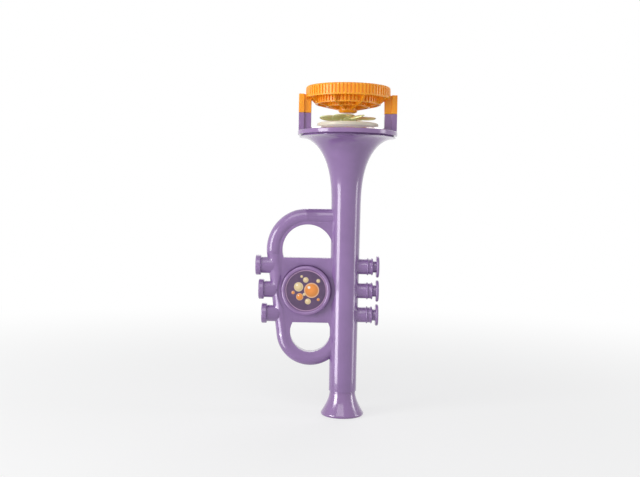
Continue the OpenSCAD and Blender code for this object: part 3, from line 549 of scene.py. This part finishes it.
def prism(outline, low, high, order=(0, 1, 2)):
    """An outline carried between two places along the third axis of the given order."""
    flat = np.asarray(outline, float)
    count = len(flat)
    points = np.vstack([np.column_stack([flat, np.full(count, end)]) for end in (low, high)])
    beside = [(i + 1) % count for i in range(count)]
    sides = [[i, beside[i], beside[i] + count, i + count] for i in range(count)]
    ends = [list(range(count))[::-1], list(range(count, 2 * count))]
    return points[:, order], sides + ends


# %% Turned pieces
RING_STEPS = 160


def ring_piece(name, outline, material, slot, body, node, turn_front=None):
    """A piece turned from a closed outline about +Z, or about -Y through a place (x, z)."""
    points, faces = turned(np.vstack([outline, outline[:1]]), RING_STEPS)
    if turn_front is not None:
        across, up, front = points.T
        points = np.column_stack([turn_front[0] + across, -front, turn_front[1] + up])
    ring = put(name, mesh_from(name, points, faces), material, slot, body, node)
    ring.modifiers.new("even shading", "WEIGHTED_NORMAL")
    print(name, len(ring.data.polygons), "faces")


# %% [markdown]
# ## Mouthpiece, platform, rim ring and button
# The mouthpiece, the platform in the bell, the rim ring and the thumb button are outlines
# of radius and height carried once around. Every corner of an outline is a quarter circle,
# so the light finds the same soft edges here as on the shell.

# %% Mouthpiece
soft = 0.25 * MM
mouth_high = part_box("mouthpiece")[1]
mouth_r = mouth_high.x
mouth_top_r = 9.6 * MM
mouth_lip = 1.5 * MM
mouth_lip_over = 0.4 * MM
cup_r = 12 * MM
cup_depth = 7 * MM
socket_r = 8.7 * MM
socket_z = 14.55 * MM
share = np.linspace(0, 1, 33)
flare = np.column_stack([
    mouth_top_r + (mouth_r - mouth_top_r) * (1 - np.cos(np.pi / 2 * (1 - share))),
    mouth_lip + mouth_lip_over + share * (mouth_high.z - soft - mouth_lip - mouth_lip_over),
])
ring_piece(
    "mouthpiece_piece",
    np.vstack([
        [[0, cup_depth]],
        quarter(cup_r - soft, cup_depth - soft, soft, soft, 0)[::-1],
        quarter(cup_r + soft, soft, soft, soft, 180),
        quarter(mouth_r - mouth_lip, mouth_lip, mouth_lip, mouth_lip, -90, steps=6),
        flare,
        quarter(mouth_top_r - soft, mouth_high.z - soft, soft, soft, 0),
        [[socket_r, mouth_high.z], [socket_r, socket_z], [0, socket_z]],
    ]),
    orchid_plastic, "violet", "trumpet", "mouthpiece",
)

# %% Platform
platform_low, platform_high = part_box("platform")
platform_r = 22.9 * MM
platform_t = 1.6 * MM
platform_edge = 1.2 * MM
platform_wall_r = platform_r - platform_t
platform_roof_z = platform_high.z - platform_t
platform_flange_z = platform_low.z + platform_t
nose_hole_r = 3.1 * MM
ring_piece(
    "platform_piece",
    np.vstack([
        [[nose_hole_r, platform_roof_z], [platform_wall_r, platform_roof_z]],
        [[platform_wall_r, platform_low.z], [platform_high.x, platform_low.z]],
        [[platform_high.x, platform_flange_z], [platform_r, platform_flange_z]],
        quarter(
            platform_r - platform_edge, platform_high.z - platform_edge,
            platform_edge, platform_edge, 0, steps=6,
        ),
        quarter(nose_hole_r + soft, platform_high.z - soft, soft, soft, 90),
    ]),
    cream_plastic, "cream", "trumpet", "platform",
)

# %% Rim ring
rim_low, rim_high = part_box("rim_ring")
rim_r = rim_high.x
rim_top_z = rim_low.z + 3.3 * MM
rim_edge = 0.6 * MM
rim_sheet = 1.3 * MM
cone_rise = 3.3 * MM
cone_r = platform_r + 0.3 * MM
cone_top_z = rim_top_z + cone_rise
collar_r = 34.55 * MM
seat_r = 32.9 * MM
ring_piece(
    "rim_ring_piece",
    np.vstack([
        [[collar_r, rim_low.z]],
        quarter(rim_r - rim_edge, rim_low.z + rim_edge, rim_edge, rim_edge, -90, steps=4),
        quarter(rim_r - rim_edge, rim_top_z - rim_edge, rim_edge, rim_edge, 0, steps=4),
        quarter(cone_r + soft, cone_top_z - soft, soft, soft, 90),
        [[cone_r, cone_top_z - rim_sheet], [seat_r, rim_top_z - rim_sheet]],
        [[collar_r, rim_top_z - rim_sheet]],
    ]),
    orchid_plastic, "violet", "trumpet", "rim_ring",
)

# %% Posts on the rim ring
head_low, head_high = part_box("bubble_head")
post_r = head_high.x
post_flange = post_r - 4.3 * MM
post_web = post_r - 9.5 * MM
post_half = 4.5 * MM
web_half = post_half - 1.4 * MM
web_root = post_flange + 2 * soft
post_edge = 0.3 * MM
post_foot_z = rim_top_z - rim_sheet
post_top_z = head_low.z - 0.05 * MM
POST_STEPS = 9


def post_block(side, foot_z, top_z, web):
    """A flange with a round outer face between two heights, and a web behind it with its
    own outline of (distance from the axis, height)."""
    across = np.linspace(-post_half, post_half, POST_STEPS)
    face = np.column_stack([np.sqrt(post_r**2 - across**2), across])
    flange = np.vstack([face, [[post_flange, post_half], [post_flange, -post_half]]])
    points, faces = gathered([
        prism(flange, foot_z, top_z),
        prism(web, -web_half, web_half, (0, 2, 1)),
    ])
    return points * [side, 1, 1], faces


def block_pair(name, foot_z, top_z, web, material, slot, node):
    """The same block on the left and on the right, with soft edges."""
    blocks = gathered([post_block(side, foot_z, top_z, web) for side in (-1, 1)])
    pair = put(name, mesh_from(name, *blocks), material, slot, "trumpet", node)
    round_edges(pair, post_edge)
    print(name, "from", round(foot_z / MM, 1), "to", round(top_z / MM, 1), "mm")


web = [
    [post_web, post_foot_z], [web_root, post_foot_z],
    [web_root, post_top_z], [post_web, post_top_z],
]
block_pair("posts_piece", post_foot_z, post_top_z, web, orchid_plastic, "violet", "rim_ring")

# %% Thumb button
button_low, button_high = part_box("thumb_button")
button_place = ((button_low.x + button_high.x) / 2, (button_low.z + button_high.z) / 2)
button_front = -button_low.y
button_back = -button_high.y
button_flange_r = (button_high.x - button_low.x) / 2
button_r = button_flange_r - 1.75 * MM
button_tip = 1.5 * MM
button_recess = 1.7 * MM
flange_t = 1.2 * MM
ring_mid = button_r - button_tip
ring_top = button_front - button_tip
dish = button_front - button_recess
roof = button_front - button_recess - button_tip
ring_piece(
    "thumb_button_piece",
    np.vstack([
        [[0, roof], [ring_mid, roof], [ring_mid, button_back]],
        quarter(button_flange_r - soft, button_back + soft, soft, soft, -90),
        quarter(button_flange_r - soft, button_back + flange_t - soft, soft, soft, 0),
        [[button_r, button_back + flange_t]],
        quarter(ring_mid, ring_top, button_tip, button_tip, 0, steps=8),
        quarter(ring_mid, ring_top, button_tip, button_tip, 90, steps=8),
        [[ring_mid - button_tip, dish], [0, dish]],
    ]),
    orchid_plastic, "violet", "button", "thumb_button", turn_front=button_place,
)

# %% [markdown]
# ## The fan
# The fan is one small moulding: a domed hub pressed on the motor's shaft, and thin leaf
# blades that start under it. Each blade is a sheet over two shares: one runs out along
# the blade, one across it. Its width swells and closes like a leaf, its pitch eases
# towards the tip, and its thickness thins to a round edge.

# %% Fan sizes
fan_low, fan_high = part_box("fan")
fan_r = (fan_high.x - fan_low.x) / 2
hub_r = 6 * MM
dome_h = 2.4 * MM
crown_hollow = (0.3 * MM, 0.4 * MM)
FAN_BLADES = 6
blade_root = 4 * MM
blade_half_width = 4.5 * MM
blade_mid_z = fan_low.z + 3.7 * MM
blade_sag = 0.6 * MM
blade_thickness = 1.1 * MM
ROOT_WIDTH = 0.35
LEAF_SHIFT = 1.4
LEAF_FULLNESS = 0.6
ROOT_PITCH = 22
PITCH_EASE = 4
TIP_CLOSING = 12


# %% Fan
def leaf_blade(turn, rows=28, columns=17):
    """One blade. Out along it: radius r = root + s (tip - root). Half width: a share of the
    full one times (1 - s)^2, plus sin(pi s) drawn towards the tip by s^shift and filled out
    by a power. Across it: y = t half width, z = y sin(pitch) - sag t^2. The skins lie half
    a thickness up and down, times sqrt(1 - t^4), and close over the last of the tip."""
    s, t = np.meshgrid(np.linspace(0, 1, rows), np.linspace(-1, 1, columns), indexing="ij")
    swell = np.sin(np.pi * s**LEAF_SHIFT) ** LEAF_FULLNESS
    half = blade_half_width * (ROOT_WIDTH * (1 - s) ** 2 + swell)
    pitch = np.radians(ROOT_PITCH - PITCH_EASE * s)
    r = blade_root + s * (fan_r - blade_root)
    y = t * half
    z = blade_mid_z + y * np.sin(pitch) - blade_sag * t**2
    skin = blade_thickness / 2 * np.sqrt(np.clip(1 - t**4, 0, 1))
    skin = skin * np.clip(TIP_CLOSING * (1 - s), 0, 1) ** 0.5
    c, d = math.cos(turn), math.sin(turn)
    x, y = r * c - y * d, r * d + y * c
    upper, lower = (np.stack([x, y, z + lift], axis=-1).reshape(-1, 3) for lift in (skin, -skin))
    top_faces = grid_faces(rows, columns)
    return np.vstack([upper, lower]), np.vstack([
        top_faces, grid_faces(rows, columns, start=len(upper), flip=True)
    ])


def domed_hub(steps=48):
    """Hub: a low skirt, then a quarter circle in to a slightly hollow crown."""
    foot, crown = fan_low.z, fan_high.z
    dome = quarter(hub_r - dome_h, crown - dome_h, dome_h, dome_h, 0, steps=8)
    hollow = [[hub_r / 3, crown - crown_hollow[0]], [0, crown - crown_hollow[1]]]
    return turned(np.vstack([[[0, foot]], [[hub_r, foot]], dome, hollow]), steps)


blades = [leaf_blade(2 * math.pi * i / FAN_BLADES) for i in range(FAN_BLADES)]
fan_mesh = mesh_from("fan_piece", *gathered(blades + [domed_hub()]))
put("fan_piece", fan_mesh, lime_plastic, "lime", "rotor", "fan")
print("fan radius", round(fan_r / MM, 1), "mm,", len(fan_mesh.polygons), "faces")

# %% [markdown]
# ## The bubble head
# Three slotted rings stand on eight fins around a hub, and liquid clings in their slots. A
# slotted ring is a turned outline, except that its skin steps in to the slot's floor where
# a slot passes: with S the share of the way into a slot at an angle, the radius is
# r - S max(0, r - floor). The fins and the hub hang lower towards the middle, like a bowl.
# Two clip blocks carry the outer ring and continue the posts. The web of a block is cut
# away above the outer ring's foot, where it would stand inside that ring.

# %% Sizes of the head
HEAD_FINS = 8
head_r = head_high.y
head_top_z = head_high.z
head_foot_z = head_top_z - 8.5 * MM
head_wall = 1.9 * MM
head_edge_in = 1 * MM
head_edge_h = 2.4 * MM
ring_wall = 1.6 * MM
ring_drop = 1.6 * MM
ring_radii = head_r - np.array([0, 7.1, 15.1]) * MM
ring_tops = head_top_z - np.array([0, 1, 1]) * ring_drop
head_hub_r = 7.2 * MM
head_hub_z = fan_high.z + 1 * MM
head_hub_edge = 2 * MM
fin_thickness = 1.4 * MM
slot_pitch = 2.75 * MM
slot_width = 1.1 * MM
slot_depth = 0.9 * MM
slot_foot = 1.4 * MM
slot_soft = 0.12 * MM

# Underside between the hub and the outer ring: shares of the way out, and of the hub's depth
bowl_shares = np.array([[0, 0.8], [0.43, 0.6], [0.78, 0.42], [1, 0]])
bowl_reach = head_r - head_wall - head_hub_r


def bowl_z(r):
    """Height of the bowl's underside at a distance from the axis."""
    out = (r - head_hub_r) / bowl_reach
    return head_foot_z - (head_foot_z - head_hub_z) * np.interp(out, *bowl_shares.T)


print("bowl at the rings:", [round(float(bowl_z(r)) / MM, 1) for r in ring_radii], "mm")

# %% Slotted rings
# A slot's side in four steps: where each lies, in slot_soft from the side, and S there
SIDE_STEPS = np.array([-1, -0.4, 0.4, 1])
SIDE_SHARES = [0, 0.1, 0.9, 1]


def slot_shares(radius):
    """Angles around a ring, and S at each: 0 on a tooth, 1 in a slot, quick steps between.
    The slots are as close to their pitch as a multiple of the fins allows."""
    count = round(2 * math.pi * radius / slot_pitch / HEAD_FINS) * HEAD_FINS
    step = 2 * math.pi / count
    side = SIDE_STEPS * slot_soft
    offsets = np.concatenate([side - slot_width / 2, [0], side + slot_width / 2]) / radius
    offsets = np.append(offsets, step / 2)
    share = np.array(SIDE_SHARES + [1] + SIDE_SHARES[::-1] + [0])
    centres = (np.arange(count) + 0.5) * step
    return (centres[:, None] + offsets).ravel(), np.tile(share, count)


def slotted_ring(radius, wall, foot_z, top_z, edge_in, edge_h):
    """Closed outline, from the inside of the foot outwards, up, over the top and down."""
    inside = radius - wall
    outline = np.vstack([
        quarter(radius - soft, foot_z + soft, soft, soft, -90),
        [[radius, foot_z + slot_foot - soft], [radius, foot_z + slot_foot]],
        quarter(radius - edge_in, top_z - edge_h, edge_in, edge_h, 0, steps=5),
        quarter(inside + soft, top_z - soft, soft, soft, 90),
        quarter(inside + soft, foot_z + soft, soft, soft, 180),
    ])
    outline = np.vstack([outline, outline[:1]])
    slotted = (outline[:, 1:] > foot_z + slot_foot - soft / 2) * 1.0
    angle, share = slot_shares(radius)
    r, z = outline[:, :1], outline[:, 1:]
    skin = r - slotted * share * np.maximum(0, r - (radius - slot_depth))
    points = np.stack([skin * np.cos(angle), skin * np.sin(angle), z + 0 * angle], axis=-1)
    return points.reshape(-1, 3), grid_faces(len(outline), len(angle), wrap=True)


# %% Fins and hub of the head
def head_fin(turn, rows=25):
    """A bar from the hub to the outer ring whose low edge follows the bowl, round at its
    edges. Its end rows close to a line inside the pieces that it joins."""
    root, tip = head_hub_r - ring_wall / 2, head_r - (head_wall + slot_depth) / 2
    bends = head_hub_r + bowl_shares[:3, 0] * bowl_reach
    r = np.unique(np.append(np.linspace(root, tip, rows), bends))
    low = bowl_z(r)
    high = head_top_z - 2 * ring_drop - ring_drop * (tip - r) / (tip - root)
    corner = np.repeat([-90, 0, 90, 180], 3)
    angle = np.radians(corner + np.tile([0, 45, 90], 4))
    side = np.where(corner < 45, 1, -1) * (fin_thickness / 2 - soft)
    raised = (corner > -45) & (corner < 135)
    across = np.tile(side + soft * np.cos(angle), (len(r), 1))
    centre = np.where(raised, high[:, None] - soft, low[:, None] + soft)
    height = centre + soft * np.sin(angle)
    across[[0, -1]] = 0
    out = np.tile(r[:, None], (1, len(angle)))
    c, d = math.cos(turn), math.sin(turn)
    points = np.stack([out * c - across * d, out * d + across * c, height], axis=-1)
    return points.reshape(-1, 3), grid_faces(len(r), len(angle), wrap=True)


def head_hub(steps=64):
    """A plug with a rounded foot and a faintly hollow top."""
    edge = head_hub_edge
    top = head_top_z - 2 * ring_drop
    return turned(
        np.vstack([
            [[0, head_hub_z]],
            quarter(head_hub_r - edge, head_hub_z + edge, edge, edge, -90, steps=6),
            quarter(head_hub_r - soft, top - soft, soft, soft, 0),
            [[head_hub_r / 2, top - soft / 2], [0, top - soft]],
        ]),
        steps,
    )


# %% Bubble head
outer_r, middle_r, inner_r = ring_radii
head_parts = [
    slotted_ring(outer_r, head_wall, head_foot_z, ring_tops[0], head_edge_in, head_edge_h),
    slotted_ring(middle_r, ring_wall, bowl_z(middle_r), ring_tops[1], soft, soft),
    slotted_ring(inner_r, ring_wall, bowl_z(inner_r), ring_tops[2], soft, soft),
    head_hub(),
]
head_parts += [head_fin(2 * math.pi * (i + 0.5) / HEAD_FINS) for i in range(HEAD_FINS)]
head_mesh = mesh_from("bubble_head_piece", *gathered(head_parts))
head = put("bubble_head_piece", head_mesh, orange_plastic, "orange", "trumpet", "bubble_head")
head.modifiers.new("even shading", "WEIGHTED_NORMAL")
print("bubble head", round(head_r / MM, 1), "mm,", len(head_mesh.polygons), "faces")

# %% Clip blocks
clip_top_z = head_top_z - 5.5 * MM
web_cut_r = head_r - head_wall * 0.8
web_cut_z = head_foot_z + slot_foot
web_top_z = clip_top_z - soft
web = [
    [post_web, head_low.z], [web_root, head_low.z], [web_root, web_top_z],
    [web_cut_r, web_top_z], [web_cut_r, web_cut_z], [post_web, web_cut_z],
]
block_pair(
    "clip_blocks_piece", head_low.z, clip_top_z, web, orange_plastic, "orange", "bubble_head"
)

# %% [markdown]
# ## The label in the button
# The button carries a round printed label. What was printed there stays off this part, so
# it has plain soap bubbles: discs in orange and cream with a bright rim and a glint, on
# plum. Each bubble is a distance from a point, so the print has no picture behind it.

# %% Bubbles on the label
label_low, label_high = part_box("button_label")
label_r = (label_high.x - label_low.x) / 2
label_x = (label_high.x + label_low.x) / 2
label_z = (label_high.z + label_low.z) / 2
label_y = label_low.y

PLUM_DARK = rgb(0.08, 0.04, 0.105)
PLUM = rgb(0.105, 0.052, 0.13)
PLUM_CLOUD, PLUM_SPAN = 5 * MM, (0.35, 0.65)
BORDER = rgb(0.45, 0.27, 0.45)
BUBBLE_TINTS = (rgb(0.85, 0.29, 0.05), rgb(0.80, 0.62, 0.33))
BUBBLE_RIM = rgb(0.92, 0.70, 0.50)
BUBBLE_GLINT = rgb(0.95, 0.90, 0.82)

# Place across and up and radius, all as shares of the label's radius, and the tint
bubbles = [
    (0.27, 0.02, 0.36, 0), (-0.36, 0.18, 0.22, 1), (-0.30, -0.30, 0.17, 0),
    (-0.02, 0.52, 0.13, 1), (0.10, -0.52, 0.14, 1), (0.58, 0.48, 0.09, 1),
    (-0.62, -0.10, 0.08, 0), (0.60, -0.42, 0.07, 0), (-0.22, 0.68, 0.06, 1),
    (-0.08, -0.18, 0.07, 1),
]

# Soft borders of a bubble's marks, as shares of its radius, and how much each one covers
MARK_SOFT = 0.012
RIM_SPAN, RIM_COVER = (0.80, 0.96), 0.55
GLINT_SPAN, GLINT_COVER, GLINT_SHIFT = (0.13, 0.24), 0.9, (-0.36, 0.38)
SHADE_SPAN, SHADE_DEPTH, SHADE_SHIFT = (0.2, 1.2), 0.72, (-0.2, 0.2)
BORDER_SPAN = (0.945, 0.955)
PAPER_GRAIN, PAPER_DEPTH = 0.6 * MM, 0.015 * MM
PAPER_ROUGHNESS, PAPER_UNEVEN = 0.32, 0.12
FILM_GLOSS, FILM_ROUGHNESS = 0.3, 0.12


# %% Bubble print
def bubble_print(name):
    """Soap bubbles by distance: inside a radius the tint, near it the rim, and a small
    offset disc for the glint. Later bubbles lie over earlier ones."""
    finish = Finish(name)
    product = {"operation": "MULTIPLY"}
    flat = finish.node("ShaderNodeVectorMath", product, finish.place, (1.0, 0.0, 1.0))

    def away(across, up):
        """Distance from a place on the label, as a share of its radius."""
        spot = (label_x + across * label_r, 0.0, label_z + up * label_r)
        apart = {"operation": "DISTANCE"}
        return finish.node("ShaderNodeVectorMath", apart, flat, spot, output=1) / label_r

    def disc(bubble, shift, span):
        """1 inside a disc that is shifted from a bubble's centre, 0 outside it."""
        across, up, size, _ = bubble
        distance = away(across + shift[0] * size, up + shift[1] * size)
        return 1 - distance.ramp(span[0] * size, span[1] * size)

    clouds = finish.noise(PLUM_CLOUD, 3.0)
    colour = finish.mix(clouds.ramp(*PLUM_SPAN), PLUM_DARK, PLUM)
    for bubble in bubbles:
        across, up, size, tint = bubble
        distance = away(across, up)
        inside = 1 - distance.ramp(size - MARK_SOFT, size + MARK_SOFT)
        rim = inside * distance.ramp(size * RIM_SPAN[0], size * RIM_SPAN[1])
        glint = disc(bubble, GLINT_SHIFT, GLINT_SPAN)
        shade = disc(bubble, SHADE_SHIFT, SHADE_SPAN)
        fresh = BUBBLE_TINTS[tint]
        fill = finish.mix(shade, scaled(fresh, SHADE_DEPTH), fresh)
        colour = finish.mix(inside, colour, fill)
        colour = finish.mix(rim * RIM_COVER, colour, BUBBLE_RIM)
        colour = finish.mix(glint * GLINT_COVER, colour, BUBBLE_GLINT)
    finish.set(
        Base_Color=finish.mix(away(0, 0).ramp(*BORDER_SPAN), colour, BORDER),
        Roughness=PAPER_ROUGHNESS + (clouds - 0.5) * PAPER_UNEVEN,
        Normal=finish.bump(finish.noise(PAPER_GRAIN), PAPER_DEPTH),
        Coat_Weight=FILM_GLOSS,
        Coat_Roughness=FILM_ROUGHNESS,
    )
    return finish.material


# %% Label disc
LABEL_STEPS = 96
LABEL_FACE = 0.985
LABEL_DOMING = 0.12
LABEL_EDGE = 0.35
LABEL_SHARP = math.radians(35)


def label_disc():
    """A thin disc about +Y with a hair of doming and a rounded edge, printed side to -Y."""
    share = np.linspace(0, 1, 10)
    thickness = label_high.y - label_low.y
    doming = LABEL_DOMING * thickness * share**2
    face = np.column_stack([label_r * LABEL_FACE * share, doming])
    edge = [[label_r, LABEL_EDGE * thickness], [label_r, thickness], [0, thickness]]
    points, faces = turned(np.vstack([face, edge]), LABEL_STEPS)
    across, up, deep = points.T
    return np.column_stack([label_x + across, label_y + deep, label_z + up]), faces


label_mesh = mesh_from("label_piece", *label_disc())
put("label_piece", label_mesh, bubble_print("bubble_print"), "label", "button", "button_label")
label_mesh.set_sharp_from_angle(angle=LABEL_SHARP)
print("label radius", round(label_r / MM, 2), "mm with", len(bubbles), "bubbles")

# %% [markdown]
# ## Pieces that keep their solid
# Screws, contacts, wires, cells and the motor already have their true shape. They only
# need their finish, which goes into the material slots of the frame's own objects.

# %% Finishes for the remaining nodes
node_finishes = {
    "motor_shaft": steel, "motor_can": steel, "motor_end_cap": nylon, "motor_terminals": brass,
    "button_spring": steel, "contact_bridge": brass, "switch_contacts": brass,
    "lower_cell": jackets["lower_cell"], "upper_cell": jackets["upper_cell"],
    "spring_contact": steel, "plate_contact": steel, "door_screw": steel, "shell_screws": steel,
    "wire_red": red_skin, "wire_black": black_skin, "wire_blue": blue_skin,
}
for node, material in node_finishes.items():
    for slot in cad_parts[node].material_slots:
        slot.material = material
print("finished nodes:", len(node_finishes))

# %% [markdown]
# ## Floor, light and background
# The toy stands on a plain pale floor. Two tall soft boxes, one to the left of the camera
# and one square to the right, draw the two long highlights down the tube. Low down a
# mirror would look through the floor to find them, so two small strips just above the
# floor carry the highlights on to the mouthpiece; they show in reflections and light
# nothing else. A broad box above gives the form, one behind lifts the rear, and the sky
# fills the shadows. The background is white to the camera and to reflections only, so it
# adds no light of its own, and the floor fades into it with distance.


# %% Background
def seen_share(recipe):
    """1 where a ray comes from the camera, a mirror reflection or through glass."""
    path = recipe.node("ShaderNodeLightPath", {}).socket.node
    camera_ray, mirror_ray, glass_ray = (
        Value(recipe, path.outputs[f"Is {kind} Ray"])
        for kind in ("Camera", "Glossy", "Transmission")
    )
    return camera_ray.higher(mirror_ray).higher(glass_ray)


def surface_mix(recipe, output, share, lit, shown):
    """Feeds an output with the lit shader, and with the shown one as share goes to 1."""
    lit = Value(recipe, lit.outputs[0])
    mixed = recipe.node("ShaderNodeMixShader", {}, share, lit, shown)
    recipe.plug(recipe.tree.nodes[output].inputs["Surface"], mixed)


SKY_LEVEL = 0.4
SKY_TINT = rgb(0.97, 0.98, 1.0)
world = bpy.data.worlds.new("sky")
bpy.context.scene.world = world
world.use_nodes = True
sky = Recipe(world.node_tree)
fill = sky.tree.nodes["Background"]
sky.plug(fill.inputs["Color"], SKY_TINT)
sky.plug(fill.inputs["Strength"], SKY_LEVEL)
white = sky.node("ShaderNodeBackground", {}, Color=rgb(1, 1, 1), Strength=1.0)
surface_mix(sky, "World Output", seen_share(sky), fill, white)
print("sky at", SKY_LEVEL, "and white to the camera")

# %% Floor
FLOOR_HALF = 3.0
FLOOR_PALE = rgb(0.88, 0.88, 0.88)
FLOOR_GLOW = 0.6
FADE_FROM = 0.12
FADE_TO = 0.75
floor_mesh = bpy.data.meshes.new("floor")
corners = np.array([[-1, -1, 0], [1, -1, 0], [1, 1, 0], [-1, 1, 0]]) * FLOOR_HALF
floor_mesh.from_pydata(corners.tolist(), [], [[0, 1, 2, 3]])
floor = bpy.data.objects.new("floor", floor_mesh)
bpy.context.scene.collection.objects.link(floor)
pale = Finish("pale_floor")
pale.set(Base_Color=FLOOR_PALE, Roughness=0.85, Specular_IOR_Level=0.0)
distance = pale.node("ShaderNodeVectorMath", {"operation": "LENGTH"}, pale.place, output=1)
glow_share = distance.ramp(FADE_FROM, FADE_TO) * (1 - FLOOR_GLOW) + FLOOR_GLOW
glow = pale.node("ShaderNodeEmission", {})
surface_mix(pale, "Material Output", seen_share(pale) * glow_share, pale.shader, glow)
floor_mesh.materials.append(pale.material)
print("floor", 2 * FLOOR_HALF, "m wide")


# %% Lights
def soft_box(name, azimuth, distance, height, size, radiance, aim, spread=180):
    """A soft box that faces the trumpet's axis at the height aim. Azimuth counts from the
    camera's side, positive to the right. Its power is radiance times pi times its area."""
    width, tall = size
    light = bpy.data.lights.new(name, "AREA")
    light.spread = math.radians(spread)
    light.shape = "RECTANGLE"
    light.size, light.size_y = width, tall
    light.energy = radiance * math.pi * width * tall
    box = bpy.data.objects.new(name, light)
    angle = math.radians(azimuth)
    place = np.array([math.sin(angle) * distance, -math.cos(angle) * distance, height])
    away = place - np.array([0, 0, aim])
    away /= np.linalg.norm(away)
    side = np.cross([0, 0, 1], away)
    side /= np.linalg.norm(side)
    stand(box, side, np.cross(away, side), away, place)
    box.visible_camera = False
    return box


LEFT = {"azimuth": -58}
RIGHT = {"azimuth": 86}
ABOVE = {"azimuth": -15, "distance": 0.75, "height": 0.8, "aim": 0.2}
BEHIND = {"azimuth": 170, "distance": 1.1, "height": 0.9, "aim": 0.12}
BOX = {"distance": 1.0, "height": 0.16, "aim": 0.12}
STRIP = {"distance": 0.12, "height": 0.042, "aim": 0.042, "spread": 100}
lamps = [
    soft_box("left_box", size=(0.44, 0.8), radiance=7.5, **LEFT, **BOX),
    soft_box("right_box", size=(0.26, 0.8), radiance=3.8, **RIGHT, **BOX),
    soft_box("top_box", size=(0.7, 0.5), radiance=2.2, **ABOVE),
    soft_box("rear_box", size=(0.9, 0.9), radiance=1.2, **BEHIND),
]
strips = [
    soft_box("left_strip", size=(0.053, 0.08), radiance=2.5, **LEFT, **STRIP),
    soft_box("right_strip", size=(0.031, 0.08), radiance=1.1, **RIGHT, **STRIP),
]
for strip in strips:
    strip.visible_diffuse = False
bpy.context.scene.view_settings.view_transform = "Standard"
print("lamps:", [lamp.name for lamp in lamps + strips])
